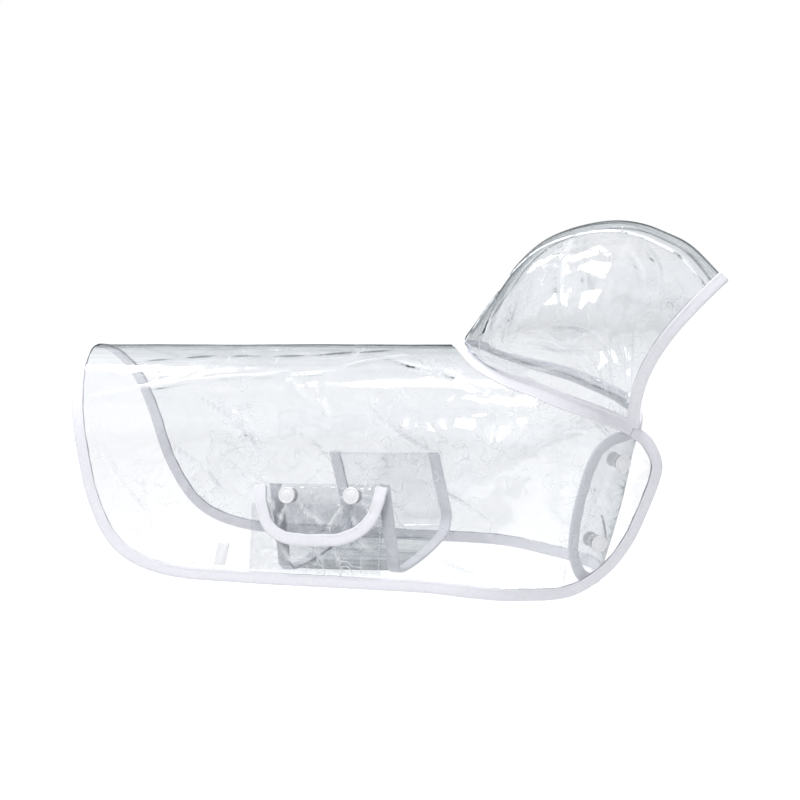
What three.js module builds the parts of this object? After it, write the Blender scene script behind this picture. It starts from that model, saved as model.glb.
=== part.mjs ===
// Clear hooded dog raincoat, in the hollow form that it has when it is worn.
// Millimetres, +Z up, +X towards the hood. The coat's own right side is at -Y.
// The origin lies in the film in the middle of the back, where the coat rests on its wearer.

import * as THREE from 'three';

// Film, tape and the spaces between them
const FILM = 1.2;
const GAP = 0.3;
const TAPE_WALL = 0.8;
const TAPE_GAP = 0.45;       // between the film's faces and the tape folded over it
const TAPE_OUT = 2.9;        // from the tape's centre line to the film's edge inside the fold
const TAPE_IN = 4.7;         // from the tape's centre line to the end of its legs

// The general form: an arch over the back, straight flaring sides, and a round front
const BACK_RADIUS = 78;
const FLANK_ANGLE = THREE.MathUtils.degToRad(80);
const BACK_RISE = 0.023;
const NAPE_X = 143;
const FRONT_TURN = 120;      // length of a quarter turn round the chest
const TURN_START = 196;      // where the sides start to turn, at the depth below
const TURN_DEPTH = 70;
const CHEST_RAKE = 0.43;     // how much further back the chest lies for each millimetre lower
const TURN_RISE_LIMIT = -28;

// Rows across the cape between its neck edge and its hem
const INNER_ROWS = 10;
const STEPS_PER_ROW = 2;
const SEAM_RISE = 3.4;       // from the neck tape's centre line up to the neck seam
const SEAM_SETBACK = 1.3;    // from the neck seam to the edge of each panel that it joins
const CORNER_STEP = 0.14;    // from the hood's corners to the tape's ends, in cut lines

// Cut lines of the cape, from the right front corner over the nape to the left front corner.
// Along is measured forward down the side and on round the chest, Around from the spine over the
// side, less than 0 on the right. Turn is the angle in degrees after which the front runs on
// straight, and Lift moves the film out.
const ALL_ROUND = 200;
const CUT_LINE_COLUMNS = [
  'neckAlong', 'neckAround', 'neckTurn', 'neckLift', 'hemAlong', 'hemAround', 'hemTurn', 'hemLift',
];
const RIGHT_FRONT = [
  [308, -123, 36, 0, 308, -123, 36, 0],
  [303, -108.5, 40, 0, 305.5, -136, 35, 0],
  [292.5, -99, 45, 0, 295, -159, 35, 0],
  [279, -92, 45, 0, 282, -182, 35, 0],
  [266, -86.5, 50, 0, 263, -202, 36, 0],
  [252, -81.5, 60, 0, 234, -215.5, 36, 0],
];
const RIGHT_SIDE = [
  [237, -76, 90, 0, 195, -215, 40, 0],
  [220, -69, 90, 0, 150, -210, 90, 0],
  [201, -62, 90, 0, 81, -208, 90, 0],
  [187, -56, 90, 0, 2, -206, 90, 0],
  [176, -49, 90, 0, -56, -202, 90, 0],
  [168, -43, 90, 0, -93, -186, 90, 0],
  [162, -36, 90, 0, -115, -152, 90, 0],
  [157, -29, 90, 0, -128, -106, 90, 0],
  [152, -20, 90, 0, -136, -69, 90, 0],
  [147, -10, 90, 0, -143, -36, 90, 0],
];
const SPINE = [NAPE_X, 0, 90, 0, -148.5, 0, 90, 0];
const LEFT_FRONT = [
  [252, 81.5, ALL_ROUND, 0, 236, 215, ALL_ROUND, 0],
  [263, 85, ALL_ROUND, 0, 268, 215, ALL_ROUND, 1],
  [275, 88.5, ALL_ROUND, 0, 296, 212, ALL_ROUND, 3.6],
  [286, 91.5, ALL_ROUND, 0, 316, 205, ALL_ROUND, 4],
  [312, 98, ALL_ROUND, 0.8, 332, 187, ALL_ROUND, -1.7],
  [335, 101.5, ALL_ROUND, 1.6, 349, 161, ALL_ROUND, -3],
  [351, 103.5, ALL_ROUND, 0.6, 361, 137, ALL_ROUND, -3],
  [362, 106, ALL_ROUND, -1.7, 367, 122, ALL_ROUND, -2.9],
  [368, 112, ALL_ROUND, -2.8, 368, 112, ALL_ROUND, -2.8],
];
const RIGHT_CORNER = 2;      // the cut line where the hood's right front corner sits on the neck
const LEFT_CORNER = 30;

// Arches of the hood, each over the head from one side of the neck seam to the other
const ARCH_COLUMNS = ['cutLine', 'crestX', 'crestZ', 'half', 'bow'];
const HOOD_ARCHES = [
  [2, 336.5, 56, 57, -13],
  [3, 314, 78, 62, -6],
  [4, 296, 87.5, 66, -3],
  [5, 276, 94.5, 68, 0],
  [6, 254.5, 96, 69, 0],
  [7, 229, 91, 68, 0],
  [8, 207, 81.5, 65, 0],
  [9, 189, 65.5, 60, 0],
  [10, 176, 47, 53, 0],
  [11, 165.5, 33, 45, 0],
  [12, 157.5, 21.5, 38, 0],
  [13, 150.5, 12, 31, 0],
];
const ARCH_WAIST = 0.36;     // height of an arch's widest place, as a share of its height
const CENTRE_HALF = 27;      // half of the hood's centre panel, seam to seam
const SIDE_ROWS = 9;
const CENTRE_ROWS = 6;

// Largest folds: soft ridges and troughs of the film, given by their two ends on the cape
const FOLD_COLUMNS = ['fromAlong', 'fromAround', 'toAlong', 'toAround', 'width', 'height'];
const CAPE_FOLDS = [
  [-150, -74, 120, -62, 22, 1.6],
  [150, -150, 205, -95, 26, 2.2],
  [-70, -180, -20, -110, 24, -1.8],
  [-150, 70, 110, 66, 22, 1.5],
  [140, 155, 200, 100, 26, 2.0],
  [-60, 185, 0, 105, 24, -1.7],
];

const HOOD_FOLD_COLUMNS = ['fromLine', 'fromShare', 'toLine', 'toShare', 'width', 'height'];
const HOOD_FOLDS = [
  [5.2, 0.35, 5.0, 1.0, 11, 1.5],
  [7.5, 0.1, 6.2, 0.75, 12, -1.5],
  [10.5, 0.2, 8.6, 0.9, 12, 1.3],
];
const LINE_LENGTH = 14;      // millimetres from one cut line to the next, and up a hood side, for
const HOOD_SIDE_LENGTH = 95; // the folds alone

// Pocket, its flap, the belly band inside, and the tab at the hem
const POCKET = { rear: 9, front: 107, top: -151.6, bottomRear: -200.4, bottomFront: -202.4, lift: 1.7 };
const FLAP = { topLift: 2.8, lift: 4.5, liftedBelow: -148, columns: 6 };
const FLAP_EDGE_COLUMNS = ['along', 'around'];
const FLAP_EDGE = [
  [106.5, -138.5],
  [103.5, -152],
  [98, -163.5],
  [89, -171.5],
  [76, -176.5],
  [61, -177.5],
  [48, -177.5],
  [34, -175.5],
  [23, -168],
  [17, -154],
  [14.5, -138.5],
];
const BAND = { rear: 24, front: 106, top: 138, legEnd: 188, lean: 8.5, inset: 3.3 };
const BAND_LEG_STEPS = 4;
const BAND_COLUMNS = 4;
const BAND_TURN_COLUMNS = ['halfShare', 'drop'];
const BAND_TURN = [
  [1, 0],
  [0.985, 6],
  [0.94, 10.5],
  [0.86, 13.5],
  [0.7, 15.4],
  [0.35, 17],
  [0, 17.5],
];
const TAB = { along: -14, width: 8.5, bottom: -197, top: -181, lean: 3, lift: 1.4 };

// Snaps
const SNAP = { round: 20, cap: 6.3, middle: 5, back: 5.4, backHeight: 1.6, reach: 14 };
// Half sections of a cap and of a back part: how far in from its own radius, and how high
const CAP_PROFILE = [
  [0.5, 0],
  [0, 0.4],
  [0.3, 1],
  [1.4, 1.6],
  [3.4, 2.05],
];
const BACK_PROFILE = [
  [1, 0],
  [0, 0.6],
  [0, SNAP.backHeight],
];
const FLAP_SNAPS = [
  { name: 'flap_snap_rear', along: 36, around: -146 },
  { name: 'flap_snap_front', along: 84, around: -145.6 },
];
const FRONT_SNAPS = [
  { name: 'front_snap_upper', along: 282, around: -123.3, turn: 38 },
  { name: 'front_snap_lower', along: 260, around: -181.3, turn: 36 },
];

const filmMaterial = new THREE.MeshStandardMaterial({
  color: 0xe6e9ee,
  roughness: 0.12,
  metalness: 0,
  transparent: true,
  opacity: 0.35,
});
const tapeMaterial = new THREE.MeshStandardMaterial({ color: 0xf1eff6, roughness: 0.75, metalness: 0 });
const snapMaterial = new THREE.MeshStandardMaterial({ color: 0xf3f2f4, roughness: 0.3, metalness: 0 });

const group = new THREE.Group();

// Tables

function rowsWithColumns(columns, rows) {
  return rows.map((row) => Object.fromEntries(columns.map((column, i) => [column, row[i]])));
}

// A cut line of the other side: only the two columns that measure around change their sign
function mirrored(row) {
  return row.map((value, i) => (CUT_LINE_COLUMNS[i].endsWith('Around') ? -value : value));
}

const leftSide = RIGHT_SIDE.map(mirrored).reverse();
const cutLineRows = [...RIGHT_FRONT, ...RIGHT_SIDE, SPINE, ...leftSide, ...LEFT_FRONT];
const cutLines = rowsWithColumns(CUT_LINE_COLUMNS, cutLineRows);
const arches = rowsWithColumns(ARCH_COLUMNS, HOOD_ARCHES);
const capeFolds = rowsWithColumns(FOLD_COLUMNS, CAPE_FOLDS);
const hoodFolds = rowsWithColumns(HOOD_FOLD_COLUMNS, HOOD_FOLDS).map((fold) => ({
  fromAlong: fold.fromLine * LINE_LENGTH,
  fromAround: fold.fromShare * HOOD_SIDE_LENGTH,
  toAlong: fold.toLine * LINE_LENGTH,
  toAround: fold.toShare * HOOD_SIDE_LENGTH,
  width: fold.width,
  height: fold.height,
}));
const flapEdge = rowsWithColumns(FLAP_EDGE_COLUMNS, FLAP_EDGE);
const bandTurn = rowsWithColumns(BAND_TURN_COLUMNS, BAND_TURN);
const spineLine = RIGHT_FRONT.length + RIGHT_SIDE.length;

// A smooth value between the rows of a table, at a row number that may have a fraction
function between(rows, column, place) {
  const last = rows.length - 1;
  const i = Math.min(Math.max(Math.floor(place), 0), last - 1);
  const f = place - i;
  const b = rows[i][column];
  const c = rows[i + 1][column];
  const a = i > 0 ? rows[i - 1][column] : 2 * b - c;
  const d = i + 2 <= last ? rows[i + 2][column] : 2 * c - b;
  const bend = (2 * a - 5 * b + 4 * c - d) * f * f + (3 * b - a - 3 * c + d) * f * f * f;
  return b + 0.5 * ((c - a) * f + bend);
}

// The general form

function sideProfile(around) {
  const archLength = BACK_RADIUS * FLANK_ANGLE;
  const turn = Math.min(around, archLength) / BACK_RADIUS;
  const straight = Math.max(around - archLength, 0);
  return {
    half: BACK_RADIUS * Math.sin(turn) + straight * Math.cos(FLANK_ANGLE),
    drop: BACK_RADIUS * (1 - Math.cos(turn)) + straight * Math.sin(FLANK_ANGLE),
  };
}

function turnStart(drop) {
  return TURN_START - CHEST_RAKE * Math.max(drop - TURN_DEPTH, TURN_RISE_LIMIT);
}

function formPoint({ along, around, turn = ALL_ROUND, lift = 0 }) {
  const { half, drop } = sideProfile(Math.abs(around));
  const start = turnStart(drop);
  const side = Math.sign(around);
  const width = half + lift;
  const z = BACK_RISE * Math.min(along, NAPE_X) - drop;
  if (along <= start) return new THREE.Vector3(along, side * width, z);
  const whole = ((along - start) / FRONT_TURN) * 90;
  const angle = THREE.MathUtils.degToRad(Math.min(whole, turn));
  const straight = (Math.max(whole - turn, 0) / 90) * FRONT_TURN;
  const x = start + width * Math.sin(angle) + straight * Math.cos(angle);
  const y = width * Math.cos(angle) - straight * Math.sin(angle);
  return new THREE.Vector3(x, side * y, z);
}

// The direction out of the form, from two short steps on it
function formNormal(seat) {
  const step = 0.5;
  const here = formPoint(seat);
  const forward = formPoint({ ...seat, along: seat.along + step }).sub(here);
  const across = formPoint({ ...seat, around: seat.around + step }).sub(here);
  return forward.cross(across).normalize();
}

// Height of the folds at a place: each fades to nothing at its ends and its sides
function foldHeight(folds, along, around) {
  let height = 0;
  for (const fold of folds) {
    const length = Math.hypot(fold.toAlong - fold.fromAlong, fold.toAround - fold.fromAround);
    const ax = (fold.toAlong - fold.fromAlong) / length;
    const ay = (fold.toAround - fold.fromAround) / length;
    const dx = along - fold.fromAlong;
    const dy = around - fold.fromAround;
    const run = (dx * ax + dy * ay) / length;
    const off = Math.abs(dx * ay - dy * ax) / fold.width;
    if (run > 0 && run < 1 && off < 1) {
      height += fold.height * Math.sin(Math.PI * run) * (0.5 + 0.5 * Math.cos(Math.PI * off));
    }
  }
  return height;
}

// A seat moved over the form by a vector that lies in its surface
function seatMoved(seat, move) {
  const step = 0.5;
  const here = formPoint(seat);
  const forward = formPoint({ ...seat, along: seat.along + step }).sub(here).divideScalar(step);
  const across = formPoint({ ...seat, around: seat.around + step }).sub(here).divideScalar(step);
  const ff = forward.dot(forward);
  const fa = forward.dot(across);
  const aa = across.dot(across);
  const mf = move.dot(forward);
  const ma = move.dot(across);
  const scale = ff * aa - fa * fa;
  return {
    ...seat,
    along: seat.along + (mf * aa - ma * fa) / scale,
    around: seat.around + (ma * ff - mf * fa) / scale,
  };
}

// Solids

// A surface of points and triangles, with the points that fall together made one
class Surface {
  constructor() {
    this.points = [];
    this.triangles = [];
    this.places = new Map();
  }

  add(point) {
    const key = [point.x, point.y, point.z].map((value) => Math.round(value * 200)).join(' ');
    if (!this.places.has(key)) {
      this.places.set(key, this.points.length);
      this.points.push(point.clone());
    }
    return this.places.get(key);
  }

  triangle(a, b, c) {
    if (a !== b && b !== c && c !== a) this.triangles.push([a, b, c]);
  }

  // Two triangles for the cell a b c d, cut from a to c
  cell(a, b, c, d) {
    this.triangle(a, b, c);
    this.triangle(a, c, d);
  }

  grid(rows) {
    const indices = rows.map((row) => row.map((point) => this.add(point)));
    for (let i = 0; i + 1 < indices.length; i += 1) {
      for (let j = 0; j + 1 < indices[i].length; j += 1) {
        this.cell(indices[i][j], indices[i + 1][j], indices[i + 1][j + 1], indices[i][j + 1]);
      }
    }
    return indices;
  }

  normals() {
    const sums = this.points.map(() => new THREE.Vector3());
    for (const [a, b, c] of this.triangles) {
      const ab = this.points[b].clone().sub(this.points[a]);
      const ac = this.points[c].clone().sub(this.points[a]);
      const area = ab.cross(ac);
      for (const i of [a, b, c]) sums[i].add(area);
    }
    return sums.map((sum) => sum.normalize());
  }
}

// A closed wall on both sides of a surface
function wall(surface, thickness) {
  const normals = surface.normals();
  const count = surface.points.length;
  const positions = [];
  for (const side of [0.5, -0.5]) {
    surface.points.forEach((point, i) => {
      positions.push(point.clone().addScaledVector(normals[i], side * thickness));
    });
  }
  const faces = [];
  const open = new Map();
  for (const [a, b, c] of surface.triangles) {
    faces.push([a, b, c], [a + count, c + count, b + count]);
    for (const [p, q] of [[a, b], [b, c], [c, a]]) {
      if (open.has(`${q} ${p}`)) open.delete(`${q} ${p}`);
      else open.set(`${p} ${q}`, [p, q]);
    }
  }
  for (const [p, q] of open.values()) faces.push([p, p + count, q + count], [p, q + count, q]);
  return solid(positions, faces);
}

// A closed bar through loops of points, one loop for each station, with a cap of cells at each end.
// The sides in turned are cut along their other diagonal.
function bar(loops, capCells, turned = []) {
  const size = loops[0].length;
  const positions = loops.flat();
  const faces = [];
  for (let i = 0; i + 1 < loops.length; i += 1) {
    for (let j = 0; j < size; j += 1) {
      const a = i * size + j;
      const b = i * size + ((j + 1) % size);
      if (turned.includes(j)) faces.push([a, b, a + size], [b, b + size, a + size]);
      else faces.push([a, b, b + size], [a, b + size, a + size]);
    }
  }
  const end = (loops.length - 1) * size;
  for (const [a, b, c, d] of capCells) {
    faces.push([a, c, b], [a, d, c], [end + a, end + b, end + c], [end + a, end + c, end + d]);
  }
  return solid(positions, faces);
}

// An indexed geometry whose faces point out
function solid(positions, faces) {
  let volume = 0;
  for (const [a, b, c] of faces) {
    volume += positions[a].dot(positions[b].clone().cross(positions[c]));
  }
  const outward = volume > 0 ? faces : faces.map(([a, b, c]) => [a, c, b]);
  const geometry = new THREE.BufferGeometry();
  const numbers = positions.flatMap((point) => point.toArray());
  geometry.setAttribute('position', new THREE.Float32BufferAttribute(numbers, 3));
  geometry.setIndex(outward.flat());
  geometry.computeVertexNormals();
  return geometry;
}

function addPiece(name, geometry, material) {
  const mesh = new THREE.Mesh(geometry, material);
  mesh.name = name;
  group.add(mesh);
}

// Folded tape over an edge: a U that clears the film on both sides and ends at the film's first
// inner row. Each station gives the film's edge, that row's point, and the wall's direction at both.
function foldedTape(stations) {
  const clear = FILM / 2 + TAPE_GAP;
  const outer = clear + TAPE_WALL;
  const loops = stations.map(({ edge, inner, edgeNormal, innerNormal }) => {
    const inward = inner.clone().sub(edge).normalize();
    const floor = edge.clone().addScaledVector(inward, -GAP);
    const back = edge.clone().addScaledVector(inward, -GAP - TAPE_WALL);
    const at = (point, normal, height) => point.clone().addScaledVector(normal, height);
    return [
      at(inner, innerNormal, outer),
      at(back, edgeNormal, outer),
      at(back, edgeNormal, -outer),
      at(inner, innerNormal, -outer),
      at(inner, innerNormal, -clear),
      at(floor, edgeNormal, -clear),
      at(floor, edgeNormal, clear),
      at(inner, innerNormal, clear),
    ];
  });
  return bar(loops, [[0, 1, 6, 7], [1, 2, 5, 6], [2, 3, 4, 5]], [2, 6]);
}

// Cape

function seatOn(end, place) {
  const value = (column) => between(cutLines, end + column, place);
  return { along: value('Along'), around: value('Around'), turn: value('Turn'), lift: value('Lift') };
}

const lastLine = cutLines.length - 1;
const stationPlaces = Array.from({ length: lastLine * STEPS_PER_ROW + 1 }, (_, i) => i / STEPS_PER_ROW);
stationPlaces.push(RIGHT_CORNER - CORNER_STEP, LEFT_CORNER + CORNER_STEP);
stationPlaces.sort((a, b) => a - b);
const lastStation = stationPlaces.length - 1;
const isOnNeckSeam = (place) => place >= RIGHT_CORNER && place <= LEFT_CORNER;

// The outline as one closed loop of seats, first the hem side and then back along the neck side
const hemSeats = stationPlaces.map((place) => ({ ...seatOn('hem', place), place, isSeam: false }));
const neckSeats = stationPlaces.slice(1, -1).map((place) => (
  { ...seatOn('neck', place), place, isSeam: isOnNeckSeam(place) }
));
const outline = [...hemSeats, ...neckSeats.reverse()];
function neckIndex(station) {
  const isCorner = station === 0 || station === lastStation;
  return isCorner ? station : 2 * lastStation - station;
}

// Each seat of a line moved square to the line, in the surface, by its own distance
function movedSeats(seats, isClosed, distanceOf) {
  const points = seats.map(formPoint);
  const last = seats.length - 1;
  return seats.map((seat, i) => {
    const before = points[i > 0 ? i - 1 : isClosed ? last : 0];
    const after = points[i < last ? i + 1 : isClosed ? 0 : last];
    const tangent = after.clone().sub(before).normalize();
    const outOfEdge = formNormal(seat).cross(tangent).normalize();
    return seatMoved(seat, outOfEdge.multiplyScalar(distanceOf(seat)));
  });
}
const edgeSeats = movedSeats(outline, true, (seat) => (seat.isSeam ? SEAM_RISE - SEAM_SETBACK : TAPE_OUT));
const innerSeats = movedSeats(outline, true, () => -TAPE_IN);

function capePoint(seat) {
  return formPoint(seat).addScaledVector(formNormal(seat), foldHeight(capeFolds, seat.along, seat.around));
}

// A place of the cape on a cut line, at a share of the way from the neck's tape to the hem's
function seatBetween(neckSeat, hemSeat, share) {
  const mix = (column) => THREE.MathUtils.lerp(neckSeat[column], hemSeat[column], share);
  return { along: mix('along'), around: mix('around'), turn: mix('turn'), lift: mix('lift') };
}

const cape = new Surface();
const edgePoints = edgeSeats.map(capePoint);
const innerPoints = innerSeats.map(capePoint);
const edgeIndices = edgePoints.map((point) => cape.add(point));
const innerIndices = innerPoints.map((point) => cape.add(point));
for (let i = 0; i < outline.length; i += 1) {
  const next = (i + 1) % outline.length;
  cape.cell(innerIndices[i], innerIndices[next], edgeIndices[next], edgeIndices[i]);
}
const capeRows = stationPlaces.map((_, station) => (
  Array.from({ length: INNER_ROWS + 1 }, (__, j) => (
    capePoint(seatBetween(innerSeats[neckIndex(station)], innerSeats[station], j / INNER_ROWS))
  ))
));
cape.grid(capeRows);
addPiece('cape', wall(cape, FILM), filmMaterial);

const capeNormals = cape.normals();
function capeStation(i) {
  return {
    edge: edgePoints[i],
    inner: innerPoints[i],
    edgeNormal: capeNormals[edgeIndices[i]],
    innerNormal: capeNormals[innerIndices[i]],
  };
}

// Tape from the hood's right corner down the right front, round the hem and up the left front
const rightEnd = neckIndex(stationPlaces.indexOf(RIGHT_CORNER - CORNER_STEP));
const leftEnd = neckIndex(stationPlaces.indexOf(LEFT_CORNER + CORNER_STEP));
const after = (i) => (i + 1) % outline.length;
const hemPath = [];
for (let i = rightEnd; i !== after(leftEnd); i = after(i)) hemPath.push(i);
addPiece('hem_binding', foldedTape(hemPath.map(capeStation)), tapeMaterial);

// Hood

const HOOD_FIRST = RIGHT_CORNER;
const HOOD_LAST = 13;
const NECK_LEG = 3;          // how far the neck tape reaches up the hood
const FACE_TAPE_START = 8.8; // how far above the neck seam the face tape starts

// The neck seam's seat at a place: the tape's centre line, moved up over the form
function seamSeat(place) {
  const seat = seatOn('neck', place);
  const step = 0.25;
  const tangent = formPoint(seatOn('neck', place - step)).sub(formPoint(seatOn('neck', place + step)));
  const upward = formNormal(seat).cross(tangent).normalize();
  return seatMoved(seat, upward.multiplyScalar(SEAM_RISE));
}

// A point of an arch: angle runs from the neck seam, past the widest place at 90, to the crest at 180
function archShape(side, place) {
  const row = place - HOOD_FIRST;
  const base = formPoint(seamSeat(side < 0 ? place : 2 * spineLine - place));
  const baseHalf = side * base.y;
  const half = Math.max(between(arches, 'half', row), baseHalf + 0.5);
  return {
    side,
    base,
    half,
    place,
    crestX: between(arches, 'crestX', row),
    crestZ: between(arches, 'crestZ', row),
    bow: between(arches, 'bow', row),
    baseAngle: Math.asin(baseHalf / half),
    seamAngle: Math.PI - Math.asin((CENTRE_HALF + GAP / 2) / half),
  };
}

function archPoint(arch, angle) {
  const height = arch.crestZ - arch.base.z;
  const waist = ARCH_WAIST * height;
  const lower = (angle - arch.baseAngle) / (Math.PI / 2 - arch.baseAngle);
  const rise = angle < Math.PI / 2 ? waist * lower : waist - (height - waist) * Math.cos(angle);
  const share = rise / height;
  const x = THREE.MathUtils.lerp(arch.base.x, arch.crestX, share) + arch.bow * Math.sin(Math.PI * share);
  const upSide = (angle - arch.baseAngle) / (arch.seamAngle - arch.baseAngle);
  const fold = foldHeight(hoodFolds, arch.place * LINE_LENGTH, upSide * HOOD_SIDE_LENGTH);
  return new THREE.Vector3(x, arch.side * (arch.half * Math.sin(angle) + fold), arch.base.z + rise);
}

// The angle that lies a distance up the arch from its base
function angleAbove(arch, distance) {
  const step = 0.01;
  const speed = archPoint(arch, arch.baseAngle + step).distanceTo(archPoint(arch, arch.baseAngle)) / step;
  return arch.baseAngle + distance / speed;
}

function sideAngles(arch) {
  const first = [SEAM_SETBACK, NECK_LEG, FACE_TAPE_START].map((distance) => angleAbove(arch, distance));
  const start = first[first.length - 1];
  const rest = Array.from({ length: SIDE_ROWS }, (_, j) => (
    THREE.MathUtils.lerp(start, arch.seamAngle, (j + 1) / SIDE_ROWS)
  ));
  return [...first, ...rest];
}

const centreShares = Array.from({ length: CENTRE_ROWS + 1 }, (_, j) => 1 - (2 * j) / CENTRE_ROWS);

// Points across the centre panel, from its right seam over the crest to its left seam
function centrePoints(place) {
  return centreShares.map((share) => {
    const arch = archShape(share > 0 ? -1 : 1, place);
    const gapAngle = GAP / arch.half;
    return archPoint(arch, Math.PI - Math.abs(share) * (Math.PI - arch.seamAngle - gapAngle));
  });
}

// Rows of a hood panel along its places, with the face edge and its tape's inner row in front. The
// first points, below the tape, stay on the edge's line.
function withFaceRows(places, bareCount, pointsAt) {
  const front = pointsAt(places[0]);
  const behind = pointsAt(places[0] + 0.1);
  const ahead = front.map((point, j) => point.clone().sub(behind[j]));
  const squareAhead = ahead.map((vector, j) => {
    if (j < bareCount) return vector.normalize();
    const before = front[Math.max(j - 1, 0)];
    const after = front[Math.min(j + 1, front.length - 1)];
    const tangent = after.clone().sub(before).normalize();
    return vector.addScaledVector(tangent, -vector.dot(tangent)).normalize();
  });
  const moved = (distance, bare) => front.map((point, j) => (
    point.clone().addScaledVector(squareAhead[j], j < bareCount ? bare : distance)
  ));
  return [moved(TAPE_OUT, 0), moved(-TAPE_IN, -TAPE_IN), ...places.slice(1).map(pointsAt)];
}

const hoodPlaces = [];
for (let place = HOOD_FIRST; place <= HOOD_LAST; place += 1 / STEPS_PER_ROW) hoodPlaces.push(place);

// A side panel of the hood, with the indices of its points in rows from the face edge back
function hoodSide(name, side) {
  const surface = new Surface();
  const rows = withFaceRows(hoodPlaces, 2, (place) => {
    const arch = archShape(side, place);
    return sideAngles(arch).map((angle) => archPoint(arch, angle));
  });
  const indices = surface.grid(side < 0 ? rows.map((row) => [...row].reverse()) : rows);
  addPiece(name, wall(surface, FILM), filmMaterial);
  return { surface, indices: side < 0 ? indices.map((row) => [...row].reverse()) : indices };
}
const hoodRight = hoodSide('hood_side_right', -1);
const hoodLeft = hoodSide('hood_side_left', 1);

// The centre panel ends at the nape, on the neck seam between its own two seams
const napePlaces = centreShares.map((share) => spineLine - share * (spineLine - HOOD_LAST - 0.4));
function napeRow(distance) {
  return napePlaces.map((place, j) => {
    const onSeam = formPoint(seamSeat(place));
    const above = centrePoints(HOOD_LAST)[j];
    return onSeam.clone().addScaledVector(above.sub(onSeam).normalize(), distance);
  });
}
const centreSurface = new Surface();
const turnedRow = (row) => [...row].reverse();
const faceRows = withFaceRows(hoodPlaces, 0, centrePoints);
const centreRows = [...faceRows, napeRow(NECK_LEG), napeRow(SEAM_SETBACK)];
const centreIndices = centreSurface.grid(centreRows.map(turnedRow)).map(turnedRow);
addPiece('hood_centre', wall(centreSurface, FILM), filmMaterial);
const hoodCentre = { surface: centreSurface, indices: centreIndices };

// Folded tape along an edge of a panel, from the indices of its edge and of its first inner row
function stationsOf({ surface, normals }, edge, inner) {
  return edge.map((edgeIndex, i) => ({
    edge: surface.points[edgeIndex],
    inner: surface.points[inner[i]],
    edgeNormal: normals[edgeIndex],
    innerNormal: normals[inner[i]],
  }));
}
for (const panel of [hoodRight, hoodLeft, hoodCentre]) panel.normals = panel.surface.normals();

const faceRight = stationsOf(hoodRight, hoodRight.indices[0], hoodRight.indices[1]).slice(2);
const faceCentre = stationsOf(hoodCentre, hoodCentre.indices[0], hoodCentre.indices[1]).slice(1, -1);
const faceLeft = stationsOf(hoodLeft, hoodLeft.indices[0], hoodLeft.indices[1]).slice(2).reverse();
addPiece('face_binding', foldedTape([...faceRight, ...faceCentre, ...faceLeft]), tapeMaterial);

// Tape on the outside of the neck seam, from the cape over the seam up the hood
function neckStation(place) {
  const index = outline.findIndex((seat) => seat.isSeam && Math.abs(seat.place - place) < 0.001);
  const right = place <= spineLine;
  const hoodPlace = right ? place : 2 * spineLine - place;
  const seam = formPoint(seamSeat(place));
  const capeLeg = innerPoints[index];
  const capeNormal = capeNormals[innerIndices[index]];
  let hoodLeg;
  let hoodNormal;
  if (hoodPlace <= HOOD_LAST) {
    const panel = right ? hoodRight : hoodLeft;
    const row = hoodPlace === HOOD_FIRST ? 0 : 1 + Math.round((hoodPlace - HOOD_FIRST) * STEPS_PER_ROW);
    const legIndex = panel.indices[row][1];
    hoodLeg = panel.surface.points[legIndex];
    hoodNormal = panel.normals[legIndex];
  } else {
    const row = hoodCentre.indices[hoodCentre.indices.length - 2];
    const share = (place - napePlaces[0]) / (napePlaces[CENTRE_ROWS] - napePlaces[0]);
    const j = Math.min(Math.floor(share * CENTRE_ROWS), CENTRE_ROWS - 1);
    const f = share * CENTRE_ROWS - j;
    hoodLeg = hoodCentre.surface.points[row[j]].clone().lerp(hoodCentre.surface.points[row[j + 1]], f);
    hoodNormal = hoodCentre.normals[row[j]].clone().lerp(hoodCentre.normals[row[j + 1]], f).normalize();
  }
  return { seam, capeLeg, capeNormal, hoodLeg, hoodNormal };
}

function seamTape(stations) {
  const inner = FILM / 2 + TAPE_GAP;
  const outer = inner + TAPE_WALL;
  const loops = stations.map(({ seam, capeLeg, capeNormal, hoodLeg, hoodNormal }) => {
    const middle = capeNormal.clone().add(hoodNormal).normalize();
    const stretch = 1 / middle.dot(capeNormal);
    const at = (point, normal, height) => point.clone().addScaledVector(normal, height);
    return [
      at(capeLeg, capeNormal, outer),
      at(seam, middle, outer * stretch),
      at(hoodLeg, hoodNormal, outer),
      at(hoodLeg, hoodNormal, inner),
      at(seam, middle, inner * stretch),
      at(capeLeg, capeNormal, inner),
    ];
  });
  return bar(loops, [[0, 1, 4, 5], [1, 2, 3, 4]]);
}
const seamPlaces = stationPlaces.filter((place) => isOnNeckSeam(place));
addPiece('neck_binding', seamTape(seamPlaces.map(neckStation)), tapeMaterial);

// Pocket

function mixed(from, to, count) {
  return Array.from({ length: count + 1 }, (_, i) => THREE.MathUtils.lerp(from, to, i / count));
}

const pocket = new Surface();
pocket.grid(mixed(0, 1, 6).map((share) => {
  const along = THREE.MathUtils.lerp(POCKET.rear, POCKET.front, share);
  const bottom = THREE.MathUtils.lerp(POCKET.bottomRear, POCKET.bottomFront, share);
  return mixed(bottom, POCKET.top, 4).map((around) => formPoint({ along, around, lift: POCKET.lift }));
}));
addPiece('pocket', wall(pocket, FILM), filmMaterial);

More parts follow.
